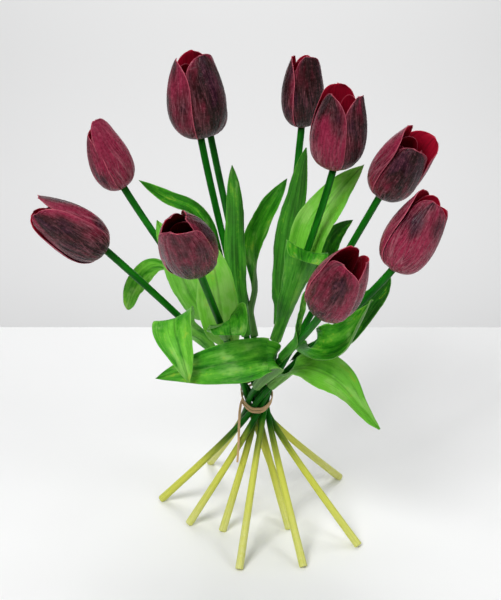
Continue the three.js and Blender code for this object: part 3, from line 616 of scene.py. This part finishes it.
# stem: the tulip it grows from. clasp: where its sheath starts and ends on that stem, measured up
# from the tie, and the side that its midrib is on. route: the midrib after the sheath, to the tip.
# half and roll: half the width and the turn round the midrib, at the sheath's two ends and at each
# point of the route. bend: the radius that the blade is rolled to, from the sheath's top on.
# wave: how far its edges ripple. light: how pale it is, and also how lit it is, so that the light and
# shade on the leaf are painted into its colour. gap: how far it stands off its stem, if not the usual
# clearance.
# grey: its under side is dull. blunt: it ends broad. front: the front half of its sheath, as a blade of
# its own.
leaves = [
    {"stem": 3, "clasp": [66, 78, 170], "wave": 0.6, "light": 0.32,
     "route": [[-23, 26, 172], [-28.5, 29.5, 188], [-33, 34.5, 201], [-43, 39, 212], [-60, 42, 219],
               [-77, 42, 230]],
     "half": [6, 6, 6, 6, 5.6, 5.2, 4.4, 0.7], "bend": [5, 6, 8, 8, 9, 9, 9],
     "roll": [0, 0, 0, -20, -40, -60, -70, -70]},
    {"stem": 2, "clasp": [82, 94, 190], "wave": 0.5, "light": 0.65,
     "route": [[-61, 32, 171], [-70.5, 30, 171.5], [-77.9, 28, 163.8], [-82.8, 27, 154.7],
               [-86, 26, 143.5]],
     "half": [6, 6, 6.5, 7.4, 7.6, 6.4, 2.4], "bend": [6, 10, 14, 14, 12, 12],
     "roll": [0, 0, -25, -55, -68, -70, -70]},
    {"stem": 2, "clasp": [50, 62, 270], "wave": 0.6, "light": 0.85,
     "route": [[-33, 10, 147], [-42, 6, 162], [-48, 8, 176], [-53, 10, 190], [-59, 12, 203],
               [-64, 14, 214]],
     "half": [6, 7, 9, 10.5, 11, 10, 6, 0.7], "bend": [6, 14, 18, 18, 16, 12, 12]},
    {"stem": 1, "clasp": [50, 62, 262], "wave": 0.4, "light": 0.66,
     "route": [[-46, -14, 149], [-50, -23, 161], [-52, -32, 167], [-51, -44, 163], [-46, -56, 152],
               [-42, -64, 139]],
     "half": [6, 7, 9, 12, 14, 13.5, 8, 0.8], "bend": [6, 12, 24, 30, 24, 14, 10]},
    {"stem": 4, "clasp": [58, 72, 80], "wave": 0.6, "light": 1.2,
     "route": [[-21, -35, 162], [-23, -36, 178], [-25, -36, 195], [-28, -33, 211], [-32, -28, 224]],
     "half": [6.5, 8, 12.5, 14.5, 12.5, 8, 0.7], "bend": [7, 14, 20, 20, 16, 14]},
    {"stem": 4, "clasp": [82, 92, 290], "wave": 0.5, "light": 0.5, "grey": True, "blunt": True,
     "route": [[-20.5, -57, 173.5], [-17.5, -62, 182], [-16.5, -66.5, 181], [-16.5, -69.5, 175.5]],
     "half": [4.5, 6, 11, 13.5, 14, 12], "bend": [5, 12, 24, 34, 34], "roll": [0, 0, 4, 12, 16, 16]},
    {"stem": 9, "clasp": [26, 76, 190], "wave": 0.7, "light": 0.5, "grey": True,
     "route": [[5, -52, 150], [-3, -55, 151], [-15, -57, 149.5], [-32, -54, 144.5], [-48, -49, 138.5],
               [-64, -44, 131]],
     "half": [6, 9, 13, 14, 13.5, 11, 6.5, 0.8], "bend": [8, 12, 20, 30, 34, 26, 20],
     "roll": [0, 0, -15, -22, -26, -26, -26, -26]},
    {"stem": 8, "clasp": [24, 40, 300], "wave": 0.7, "light": 0.85, "grey": True,
     "route": [[20.5, -36.5, 131.5], [29, -43.5, 138], [40, -48, 137.5], [52, -51, 131], [64, -56, 118],
               [77, -60, 103]],
     "half": [6, 5.5, 9.5, 12.5, 14.5, 12.5, 7, 0.8], "bend": [7, 16, 22, 24, 20, 18, 16],
     "roll": [0, -6, 32, 42, 52, 55, 50, 50]},
    {"stem": 3, "clasp": [46, 58, 280], "wave": 0.4, "light": 0.33,
     "route": [[-11, 10, 155], [-13, 14, 173], [-14, 19, 192], [-14, 23, 214], [-15, 26, 232],
               [-16, 29, 246]],
     "half": [6, 6, 6.5, 7, 7.2, 6.2, 4.2, 0.7], "bend": [5, 8, 11, 12, 12, 12, 12]},
    {"stem": 10, "clasp": [44, 60, 0], "wave": 0.6, "light": 0.45, "grey": True,
     "route": [[0, 42, 150], [-1, 44, 166], [-2, 46, 184], [3, 50, 198], [11, 53, 212], [20, 57, 225]],
     "half": [6, 6, 6, 7, 8, 7.5, 5.5, 0.7], "bend": [4, 4.5, 6, 9, 10, 10, 10],
     "roll": [0, 0, 0, 30, 70, 90, 90, 90]},
    {"stem": 5, "clasp": [54, 66, 250], "wave": 0.6, "light": 0.32,
     "route": [[15, 27, 153], [16, 31, 168], [19, 37, 191], [24, 42, 213], [28, 46, 233], [32, 49, 250]],
     "half": [6, 6, 6.5, 8, 8.8, 8, 5, 0.7], "bend": [5, 8, 11, 12, 12, 11, 11]},
    {"stem": 6, "clasp": [48, 84, 60], "wave": 0.5, "gap": 0.8, "light": 0.88,
     "route": [[31, 17, 185], [36, 23, 202], [44, 28, 215], [56, 33, 230], [69, 37, 243]],
     "half": [6, 6.5, 12.5, 14, 12.5, 8.5, 0.7], "bend": [3.5, 14, 18, 18, 16, 14],
     "front": {"stem": 6, "clasp": [48, 62, 284], "wave": 0.4, "gap": 1.2, "light": 0.45, "blunt": True,
               "route": [[20, -1, 158], [24, -3, 173], [28.5, -5, 189.5], [30.5, -8, 201.5],
                         [30.5, -13, 204.5], [29.5, -18.5, 200.5]],
               "half": [6.5, 7, 8, 10, 12.5, 14, 14, 11], "bend": [4, 6.5, 9, 14, 30, 60, 60],
               "roll": [0, 0, 0, 0, -6, -20, -34, -40]}},
    {"stem": 7, "clasp": [74, 88, 80], "wave": 0.5, "light": 0.25,
     "route": [[42, 22, 172], [45, 30, 182], [49, 37, 190], [55.5, 42, 195.5], [63.5, 46, 200]],
     "half": [6, 6, 7, 8, 7, 4.5, 0.7], "bend": [5, 9, 12, 12, 12, 12]},
    {"stem": 8, "clasp": [50, 60, 65], "wave": 0.5, "light": 0.15,
     "route": [[53, -19, 146], [63, -21, 160], [72, -24, 176], [79, -26, 186], [83, -28, 194]],
     "half": [6, 6, 7, 8, 7.5, 5, 0.7], "bend": [6, 12, 16, 14, 12, 12]},
    {"stem": 8, "clasp": [62, 70, 262], "wave": 1.4, "light": 0.42, "grey": True,
     "route": [[34, -39, 150.5], [43, -48, 155], [54, -54, 163], [62.5, -58, 178.5], [69, -60, 195]],
     "half": [6, 7, 12.5, 15.5, 14, 8.5, 0.7], "bend": [6, 10, 11.5, 11, 9, 9],
     "roll": [0, 0, 55, 98, 98, 86, 76]},
    {"stem": 9, "clasp": [84, 114, 165], "wave": 0.3, "light": 0.45,
     "route": [[24, -72, 184.5], [26.5, -72, 195.5], [28, -71, 206]],
     "half": [5, 5.2, 3.6, 3, 0.7], "bend": [3.6, 7, 8, 8], "roll": [0, 0, -35, -40, -40]},
]

leafShape = {
    "rowsPerStep": 9,
    "tipRows": [0.5, 0.2, 0.06, 0],  # rows over the last stretch, as the shares of it still to go
    "columns": 25, "closing": 1.3,
    "thickness": 0.6, "rim": (0.3, 0.3, 0.15, 1.5),
    "midrib": 0.35,  # depth of the groove along the middle of the upper side
    "flutes": 0.13, "frill": 0.45,
    "tipLength": 0.45,  # the share of the last step over which the tip narrows
    "tipNarrowing": 0.72, "bluntNarrowing": 0.12, "stepLength": 12,
    "solid": 0.8,  # thickness of the solid that this blade lies in
    "clearance": 0.6,
}


def addLeaf(piece, leaf, seed):
    shape = leafShape
    onStem = upperStem(tulips[leaf["stem"] - 1])
    start, top, facing = leaf["clasp"]
    towards = heading(facing, 0)
    clearance = leaf.get("gap", shape["clearance"]) + shape["solid"] / 2

    def clasp(distance):
        place, direction, radius = onStem(distance)
        out = squareTo(direction, towards)
        return place + out * (radius + clearance)[..., None], out

    points = np.array([clasp(start)[0], clasp(top)[0], *leaf["route"]])
    last = len(points) - 1
    t = np.linspace(0, last, last * shape["rowsPerStep"] + 1)
    t = np.append(t[:-1], last - (last - t[-2]) * np.array(shape["tipRows"]))
    held, out = clasp(mix(start, top, np.clip(t, 0, 1)))
    place = np.where((t < 1)[:, None], held, smoothValue(points, t))
    step = 0.02
    ahead = unit(smoothValue(points, np.minimum(t + step, last))
                 - smoothValue(points, np.maximum(t - step, 0)))
    # the upper side looks at the stem along the sheath, and is carried on to the tip
    faces = []
    for k, at in enumerate(t):
        faces.append(squareTo(ahead[k], -out[k] if at < 1 else faces[-1]))
    face = turned(np.array(faces), ahead, np.radians(smoothValue(leaf.get("roll", [0, 0]), t)))
    side = np.cross(ahead, face)
    narrowing = shape["bluntNarrowing" if leaf.get("blunt") else "tipNarrowing"]
    past = np.clip((t - (last - shape["tipLength"])) / shape["tipLength"], 0, 1)
    half = (smoothValue(leaf["half"], t) * (1 - narrowing * past ** 2))[:, None]
    tightest = onStem(start)[2] + clearance
    bend = np.maximum(tightest, smoothValue([tightest, *leaf["bend"]], t))[:, None]
    v, u = np.meshgrid(t, closingUp(shape["columns"], shape["closing"]), indexing="ij")
    angle = u * (half / bend)
    normal = face[:, None] * np.cos(angle)[..., None] - side[:, None] * np.sin(angle)[..., None]
    free = softStep(v, 1.2, 2.5)
    ripple = leaf["wave"] * free * u ** 2 * np.sin(v * 2.6 + np.where(u > 0, 0, 2))
    frill = hum(v * 3.3 + 2 * np.sign(u), seed + 40)
    ripple += shape["frill"] * free * np.abs(u) ** 3 * frill
    groove = -np.exp(-(u / 0.09) ** 2) * shape["midrib"] * np.minimum(1, half / 5)
    folds = hum(u * 8 + 0.3 * v, seed + 80, 4) * shape["flutes"] * free
    lift = ripple + (groove + folds) * softStep(v, 0.6, 1.6)
    middle = ringsAround(place, face, side, bend * (1 - np.cos(angle)), bend * np.sin(angle))
    edge = np.minimum((1 - np.abs(u)) * half, (last - v) * shape["stepLength"] + 0.1)
    edge = np.minimum(edge, v * shape["stepLength"] + 0.3)
    piece.sheet(middle + normal * lift[..., None], normal, bladeThickness(shape, edge),
                paint(u * np.minimum(1, half / 8), v / last, seed * 0.618,
                      u, edge, leaf["light"]))


def makeLeaf(number, leaf, materials):
    piece = Piece(f"leaf.{number}", f"leaf_{number}", "leaf", materials)
    addLeaf(piece, leaf, number)
    if "front" in leaf:
        addLeaf(piece, leaf["front"], number + 20)
    piece.build()


# the raffia tie

tieShape = {
    "tilt": 30,  # degrees that its front hangs lower
    "rise": 4.5,  # from the bends of the stems up to its middle
    "stemMargin": 1.06,  # the stems' radius where they slant, over their radius
    "gap": 0.8, "thickness": 0.8, "width": 1.8,
    "apart": (0.8, 1.4),  # how far each turn is from the tie's middle, at the right and at the left
    "unevenness": 0.06,
    "fold": (0.2, 0.3, 0.22),  # how deep, how far from the middle and how broad its crease is
    "steps": 120, "around": 14, "smoothing": 6,
    "knotAngle": 196, "knotLift": 0.35,
    "knotReach": (0.55, 1.75, 0.25),  # half the loop's size outwards, upwards and sideways
    "knotStrand": (0.42, 0.8),  # half its thickness and half its width
    "knotSteps": 40, "knotAround": 12,
    "looseEnd": [[-9, -2.4, 92.5], [-10.4, -3.8, 89.6], [-11.4, -7, 83.5], [-11.9, -11, 73.5],
                 [-12.2, -13.8, 62], [-13, -15.2, 50]],
    "looseWidth": (2.0, 1.4), "looseThinning": 0.8, "looseFold": (0.16, 0.35, 0.25), "looseSteps": 70,
    "looseFacing": (262, 350),  # the heading of its edge, at the knot and from the second bend on
}


def stemAt(tulip, height):
    # where a stem is at one height
    curve = stemCurves(tulip)[0 if height < waistHeight else 1]
    places = bezier(curve, np.linspace(0, 1, 400))
    return [np.interp(height, places[:, 2], places[:, k]) for k in range(2)]


def tieRoute():
    # the tie's middle line for each angle and height above its level line
    heights = np.linspace(-8, 16, 49)
    centres = np.array([[stemAt(tulip, waistHeight + h) for tulip in tulips] for h in heights])

    def reach(angle, height):
        far = (centres @ [cos(angle), sin(angle)]).max(1)
        return np.interp(height, heights, far) + stemSizes["waistRadius"] * tieShape["stemMargin"]

    def place(angle, height, extra=0.0):
        fall = tan(radians(tieShape["tilt"]))
        level = tieShape["rise"] + height + reach(angle, 0) * sin(angle) * fall
        margin = tieShape["width"] / 2
        out = max(reach(angle, level - margin), reach(angle, level + margin))
        out += tieShape["gap"] + tieShape["thickness"] / 2 + extra
        return np.array([out * cos(angle), out * sin(angle), waistHeight + level])

    return place


def ribbonRings(route, out, rise, wide, thick, fold, drift):
    # soft oblongs round a route, creased along a line that drifts from side to side
    angles = wholeTurn(tieShape["around"])
    c, s = np.cos(angles), np.sin(angles)
    oblong = (np.abs(c) ** 3 + np.abs(s) ** 3) ** (1 / 3)
    c, s = c / oblong, s / oblong
    depth, aside, breadth = fold
    crease = 1 - depth * np.exp(-((s - aside * np.sin(drift)[:, None]) / breadth) ** 2)
    return ringsAround(route, out, rise, c * crease * thick / 2, s * wide[:, None] / 2)


def addStrand(piece, rings, seed, closed=True):
    n, m = rings.shape[:2]
    # on a closed strand the fibres' place goes up and down again, so that it meets itself
    along = np.sin(wholeTurn(n)) * 12 if closed else np.arange(n) * 0.8
    place = (np.sin(wholeTurn(m)) + seed, along[:, None], seed)
    piece.tube(rings, paint(*place, *place), closed=closed)


def loopAhead(route):
    return unit(np.roll(route, -1, 0) - np.roll(route, 1, 0))


def makeTie(material):
    sizes = tieShape
    piece = Piece("tie.raffia", "tie", "raffia", [material])
    place = tieRoute()
    tilt = radians(sizes["tilt"])
    up = np.array([0, sin(tilt), cos(tilt)])
    angles = wholeTurn(sizes["steps"])
    out = squareTo(up, np.stack([np.cos(angles), np.sin(angles), 0 * angles], 1))
    for direction in (1, -1):
        apart = direction * mix(*sizes["apart"], (1 - np.cos(angles)) / 2)
        route = np.array([place(angle, height) for angle, height in zip(angles, apart)])
        # rounds off the small corners of the route
        for _ in range(sizes["smoothing"]):
            route = (np.roll(route, 1, 0) + route * 2 + np.roll(route, -1, 0)) / 4
        wide = 1 - sizes["unevenness"] + sizes["unevenness"] * np.sin(3 * angles + direction)
        rings = ribbonRings(route, out, np.cross(out, loopAhead(route)), sizes["width"] * wide,
                            sizes["thickness"], sizes["fold"], 2 * angles + direction)
        addStrand(piece, rings, 1.0 + direction)

    # the knot: a short loop over both turns
    outward = heading(sizes["knotAngle"], 0)
    turn = wholeTurn(sizes["knotSteps"])
    loop = np.array([place(radians(sizes["knotAngle"]), 0, sizes["knotLift"])])
    for reach, wave, direction in zip(sizes["knotReach"], (np.cos(turn), np.sin(turn), np.sin(turn * 2)),
                                      (outward, up, np.cross(up, outward))):
        loop = loop + np.outer(wave * reach, direction)
    ahead = loopAhead(loop)
    out = squareTo(ahead, np.outer(np.cos(turn), outward) + np.outer(np.sin(turn), up))
    thick, wide = sizes["knotStrand"]
    section = wholeTurn(sizes["knotAround"])
    addStrand(piece, ringsAround(loop, out, np.cross(ahead, out), np.cos(section) * thick,
                                 np.sin(section) * wide), 5.0)

    # the loose end, hanging in front of the stems
    steps = len(sizes["looseEnd"]) - 1
    t = np.linspace(0, steps, sizes["looseSteps"])
    route = smoothValue(sizes["looseEnd"], t)
    ahead = unit(np.gradient(route, axis=0))
    facing = [heading(azimuth, 0) for azimuth in mix(*sizes["looseFacing"], np.minimum(1, t / 2))]
    out = squareTo(ahead, np.cross(ahead, facing))
    rings = ribbonRings(route, out, np.cross(ahead, out), mix(*sizes["looseWidth"], t / steps),
                        sizes["thickness"] * sizes["looseThinning"], sizes["looseFold"],
                        t / steps * 9 + 3)
    addStrand(piece, rings, 8.0, closed=False)
    piece.build()


# materials, on linear colours

petalColours = {
    # glint and rim are painted highlights; olive and shade also paint shade into recesses and deep in the
    # cup
    "rosy": (0.285, 0.017, 0.055), "burgundy": (0.085, 0.004, 0.012),
    "olive": (0.011, 0.004, 0.003), "purple": (0.034, 0.005, 0.018),
    "glint": (0.52, 0.17, 0.215), "rim": (0.6, 0.12, 0.17),
    "crimson": (0.4, 0.005, 0.026), "shade": (0.06, 0.002, 0.005),
    "sap": (0.06, 0.075, 0.02), "root": (0.1, 0.018, 0.026),
}


def thread(wire, width):
    # 1 along the thin winding lines where a noise passes its middle, 0 away from them
    return 1 - (wire - 0.5).positive().between(0, width)


def petalOutside():
    s = Shader("petal outside", petalColours)
    u, v, seed = s.painted("marks")
    vein, edge, dark = s.painted("grain")
    across = vein + s.noise((u * 2.2, v * 3, seed + 2), detail=1) * 0.22
    combed = s.noise((across * 7, v * 1.6, seed), detail=1)
    fanned = s.noise((u.positive() * 7 - v * 5, v * 1.4 + u, seed + 21), detail=1)
    fine = s.noise((across * 26, v * 4, seed + 8), detail=2)
    cloud = s.noise((u * 1.8, v * 3.2, seed * 3), detail=2)
    crinkle = s.noise(s.here(), scale=480, roughness=0.7)
    lower = 1 - v.between(0.35, 0.85) * 0.7
    # thin raised lines that carry a painted highlight along their ridges
    glintLines = (thread(combed, 0.05) * 0.6).largest(thread(fanned, 0.065))
    glintLines = glintLines * lower * (cloud + (fine - 0.5) * 0.8).between(0.3, 0.6)
    grooves = thread(s.noise((across * 8, v * 1.8, seed + 13), detail=1), 0.07)
    middle = (1 - u * u * 0.7) * v.between(0, 0.15)
    patch = (dark * 1.25 * middle + (cloud - 0.5) * 2.2 + (fine - 0.5) * 0.2 - 0.3).between(0, 0.75)
    warm = ((0.5 - cloud) * 1.8 + (fine - 0.5) * 0.3 + 1.0 - dark).between(0.1, 0.9)
    s.coat(warm, "rosy", over="burgundy")
    s.coat((1 - edge.between(0, 5.0)) * 0.45, "rosy")
    s.coat(patch * 0.95, s.blend(cloud.between(0.5, 0.7), "olive", "purple"))
    # painted shade: olive in the sunk grooves and in the dips of the crinkle
    s.coat((grooves * lower * 0.35).largest((1 - crinkle).between(0.48, 0.62) * 0.3), "olive")
    # painted highlight along the raised lines, fainter on the dark patches
    s.coat(glintLines * (1 - patch * 0.6) * 0.7, "glint")
    # painted highlight: bright specks where the crinkle stands high
    s.coat(crinkle.between(0.5, 0.66) * fine.between(0.4, 0.6) * 0.22, "glint")
    # a pale rim along the edges: partly the petal's own paler edge, partly a painted edge highlight
    s.coat((1 - edge.between(0.15, 0.75)) * 0.8, "rim")
    height = glintLines * 0.6 - grooves * 0.3 + combed * 0.8 + fanned * 0.5 + crinkle * 0.4
    return s.finish(crinkle * 0.25 + 0.16, specular=0.2, normal=s.bump(height, 0.0009))


def petalInside():
    s = Shader("petal inside", petalColours)
    v, seed = s.painted("marks")[1:]
    vein, edge = s.painted("grain")[:2]
    fine = s.noise((vein * 16, v * 2.6, seed))
    # crimson higher up over dark red near the root: painted shade deep in the cup, and the crimson partly
    # a painted glow of light shining through the petal
    s.coat(v.between(0.35, 0.95), "crimson", over="shade")
    # darker streaks along the veins, in the same dark red
    s.coat(fine.between(0.45, 0.8) * 0.45, "shade")
    # a pale rim along the edges: partly the petal's own paler edge, partly a painted edge highlight
    s.coat((1 - edge.between(0.08, 0.4)) * 0.6, "rim")
    return s.finish(fine * 0.2 + 0.36, specular=0.15, normal=s.bump(fine, 0.0005, 0.6))


def petalRoot():
    s = Shader("petal root", petalColours)
    along = s.painted("marks")[1]
    grain = s.noise(s.here(), scale=700)
    s.coat(along.between(0.02, 0.3), "root", over="sap")
    s.coat(grain.between(0.4, 0.7) * 0.5, "olive")
    return s.finish(0.45, normal=s.bump(grain, 0.0004, 0.6))


leafColours = {
    "deep": (0.004, 0.08, 0.002), "green": (0.022, 0.25, 0.004), "bright": (0.185, 0.6, 0.045),
    "pale": (0.42, 0.74, 0.19), "yellow": (0.42, 0.52, 0.04), "edge": (0.23, 0.56, 0.09),
    "grey": (0.11, 0.23, 0.07), "greyPale": (0.28, 0.4, 0.19),
}


def leafSkin(name, grey, ripeness):
    # grey: how far this side is from fresh green. ripeness: how much of it turns yellow.
    s = Shader(name, leafColours)
    u, along, seed = s.painted("marks")
    vein, edge, light = s.painted("grain")
    across = vein + s.noise((u * 2, along * 3, seed + 3), detail=1) * 0.16
    veins = s.noise((across * 15, along * 1.4, seed), roughness=0.6)
    bands = s.noise((across * 3, along * 2.5, seed + 9), detail=2)
    cloud = s.noise((u * 2.0, along * 4.5, seed * 2), detail=4, roughness=0.6)
    glossPatches = s.noise((u * 1.4, along * 6, seed * 2 + 40), roughness=0.55)
    speck = s.noise(s.here(), scale=300, detail=4, roughness=0.7)
    # each leaf's light value lifts its tone for its own paleness and for the painted light and shade on
    # that leaf
    tone = (cloud - 0.5) * 1.2 + (bands - 0.5) * 0.6 + (light - 0.5) * 0.95 + (speck - 0.5) * 0.25 + 0.5
    s.coat(tone.between(0.1, 0.5), "green", over="deep")
    s.coat(tone.between(0.35, 0.95), "bright")
    # painted glossy highlight: pale patches over the leaf, more of them on the brighter leaves
    s.coat((glossPatches + (light - 0.5) * 0.25).between(0.55, 0.75) * 0.45, "pale")
    ripe = (cloud + (speck - 0.5) * 0.8 + (along - 0.5) * 0.12).between(0.62, 0.85)
    s.coat(ripe * ripeness, "yellow")
    s.coat(grey, s.blend((bands * 0.6 + veins * 0.5).between(0.4, 0.8), "grey", "greyPale"))
    s.coat(thread(veins, 0.06) * 0.2, "bright")
    s.coat((1 - veins).between(0.5, 0.7) * 0.2, "deep")
    # painted shade: darker along the middle, over the midrib's groove
    s.coat((1 - u.positive().between(0, 0.09)) * 0.35, "deep")
    s.coat((1 - edge.between(0.05, 0.6)) * 0.5, "edge")
    height = veins * 0.9 + bands * 1.2 + glossPatches * 1.5 + speck * 0.35
    return s.finish(speck * 0.25 + veins * 0.1 + 0.14 + grey * 0.12,
                    specular=0.13 - grey * 0.06, normal=s.bump(height, 0.0008, 0.75))


stemColours = {
    "deep": (0.001, 0.08, 0.001), "green": (0.008, 0.165, 0.004),
    "yellowGreen": (0.64, 0.66, 0.09), "pale": (0.78, 0.77, 0.4),
}


def stemSkin():
    s = Shader("stem skin", stemColours)
    sine, cosine, seed = s.painted("marks")
    along, pale, cut = s.painted("grain")
    ridges = s.noise((sine * 7 + seed, cosine * 7, along * 0.02), detail=2)
    cloud = s.noise((sine * 0.8 + seed, cosine * 0.8, along * 0.05))
    speck = s.noise(s.here(), scale=420, roughness=0.65)
    down = (0 - along + (cloud - 0.5) * 26 + (ridges - 0.5) * 8) / pale
    s.coat(cloud.between(0.35, 0.7), "green", over="deep")
    s.coat(down.between(0.25, 1.25), "yellowGreen")
    s.coat(down.between(1.2, 3.0) * speck.between(0, 0.9) * 0.7, "pale")
    s.coat((1 - ridges).between(0.5, 0.7) * 0.22, "green")
    s.coat(cut * 0.8, "pale")
    height = ridges * 0.9 + speck * 0.3
    return s.finish(speck * 0.15 + 0.3, specular=0.1, normal=s.bump(height, 0.0004, 0.5))


raffiaColours = {
    "straw": (0.68, 0.42, 0.19), "light": (0.76, 0.52, 0.27), "brown": (0.3, 0.14, 0.05),
}


def raffiaSkin():
    s = Shader("raffia skin", raffiaColours)
    across, along, seed = s.painted("marks")
    fibres = s.noise((across * 9, along * 0.25, seed), detail=4, roughness=0.65)
    cloud = s.noise(s.here(), scale=170)
    s.coat(fibres.between(0.35, 0.7), "light", over="straw")
    s.coat((1 - fibres).between(0.55, 0.75) * 0.7, "brown")
    s.coat(cloud.between(0.55, 0.8) * 0.3, "brown")
    return s.finish(0.62, sheen=0.1, normal=s.bump(fibres, 0.0004, 0.8))


# the bunch

petalLooks = [petalOutside(), petalInside(), petalRoot()]
leafFace = leafSkin("leaf upper side", 0.0, 0.5)
leafBack = leafSkin("leaf under side", 0.12, 0.25)
leafGrey = leafSkin("leaf under side, grey", 0.62, 0.1)
stemLook = stemSkin()
raffiaLook = raffiaSkin()
for number, tulip in enumerate(tulips, 1):
    makeStem(number, tulip, stemLook)
print("stems made")
for number, (tulip, bloom) in enumerate(zip(tulips, blooms), 1):
    makeBloom(number, tulip, bloom, petalLooks)
print("blooms made")
for number, leaf in enumerate(leaves, 1):
    makeLeaf(number, leaf, [leafFace, leafGrey if leaf.get("grey") else leafBack])
print("leaves made")
makeTie(raffiaLook)
print("tie made")

# table, backdrop, light and camera, in metres

stage = {
    "tableBack": 0.278, "tableHalf": 2.0, "tableFront": -1.9,
    "tableTop": -0.0001, "tableUnder": -0.03,
    "wallDistance": 2.2, "wallHalf": 3.2, "wallHeight": 2.4,
    # the backdrop's upper colour is darker: painted shade that falls off up the wall
    "table": (0.89, 0.89, 0.89), "wallLow": (0.84, 0.84, 0.84), "wallShadedHigh": (0.56, 0.56, 0.56),
    "room": (0.5, 0.51, 0.52), "roomStrength": 0.3,
}

lights = {
    "key": {"place": (-0.8, -1.2, 1.8), "target": (0, 0, 0.15), "size": 0.9, "power": 33},
    "fill": {"place": (1.3, -0.9, 1.4), "target": (0, 0, 0.15), "size": 0.8, "power": 9},
    "top": {"place": (0.1, 0.8, 1.7), "target": (0, 0.1, 0), "size": 1.0, "power": 13},
    "wallWash": {"place": (0.0, 0.5, 0.4), "target": (0, 2.2, 0.4), "size": 1.4, "power": 44},
}

view = {
    "lens": 97.6, "sensor": 36,
    "aim": (0.0087, 0.0063, 0.164), "rise": 27, "distance": 1.05,
}


def plain(name, colour, roughness, higher=None):
    # one plain colour with a faint cloud, and, if given, a darker colour where it stands higher: painted
    # shade up the backdrop
    s = Shader(name, {"main": colour, "cloud": tuple(c * 0.985 for c in colour), "higher": higher})
    grain = s.noise(s.here(), scale=6, detail=2)
    s.coat(grain.between(0.3, 0.7) * 0.5, "cloud", over="main")
    if higher:
        height = s.node("SeparateXYZ", {0: s.here()}, 2)
        # painted shade: the darker colour takes over higher up
        s.coat(height.between(-1.0, -0.25), "higher")
    return s.finish(roughness)


def addStage(name, points, faces, material):
    mesh = bpy.data.meshes.new(name)
    mesh.from_pydata(points, [], faces)
    mesh.materials.append(material)
    thing = bpy.data.objects.new(name, mesh)
    scene.collection.objects.link(thing)


def pointAt(thing, location, target):
    thing.location = location
    thing.rotation_euler = (Vector(target) - Vector(location)).to_track_quat("-Z", "Y").to_euler()
    scene.collection.objects.link(thing)


def makeStage():
    half, back, front = stage["tableHalf"], stage["tableBack"], stage["tableFront"]
    corners = [(x, y, z) for z in (stage["tableUnder"], stage["tableTop"])
               for x, y in ((-half, front), (half, front), (half, back), (-half, back))]
    addStage("table", corners, [(3, 2, 1, 0), (4, 5, 6, 7), (0, 1, 5, 4), (1, 2, 6, 5), (2, 3, 7, 6),
                                (3, 0, 4, 7)], plain("table top", stage["table"], 0.6))
    far, half, high = stage["wallDistance"], stage["wallHalf"], stage["wallHeight"]
    addStage("backdrop", [(-half, far, -high), (half, far, -high), (half, far, high), (-half, far, high)],
             [(0, 1, 2, 3)], plain("backdrop paint", stage["wallLow"], 0.8, stage["wallShadedHigh"]))


makeStage()
for name, light in lights.items():
    lamp = bpy.data.lights.new(name, "AREA")
    lamp.shape = "SQUARE"
    lamp.size = light["size"]
    lamp.energy = light["power"]
    pointAt(bpy.data.objects.new(name, lamp), light["place"], light["target"])

world = bpy.data.worlds.new("room")
world.use_nodes = True
background = world.node_tree.nodes["Background"]
background.inputs["Color"].default_value = (*stage["room"], 1)
background.inputs["Strength"].default_value = stage["roomStrength"]
scene.world = world
scene.view_settings.view_transform = "Standard"

lens = bpy.data.cameras.new("camera")
lens.lens = view["lens"]
lens.sensor_width = view["sensor"]
camera = bpy.data.objects.new("camera", lens)
rise = radians(view["rise"])
aim = Vector(view["aim"])
pointAt(camera, aim + Vector((0, -cos(rise), sin(rise))) * view["distance"], aim)
scene.camera = camera
print("stage made")
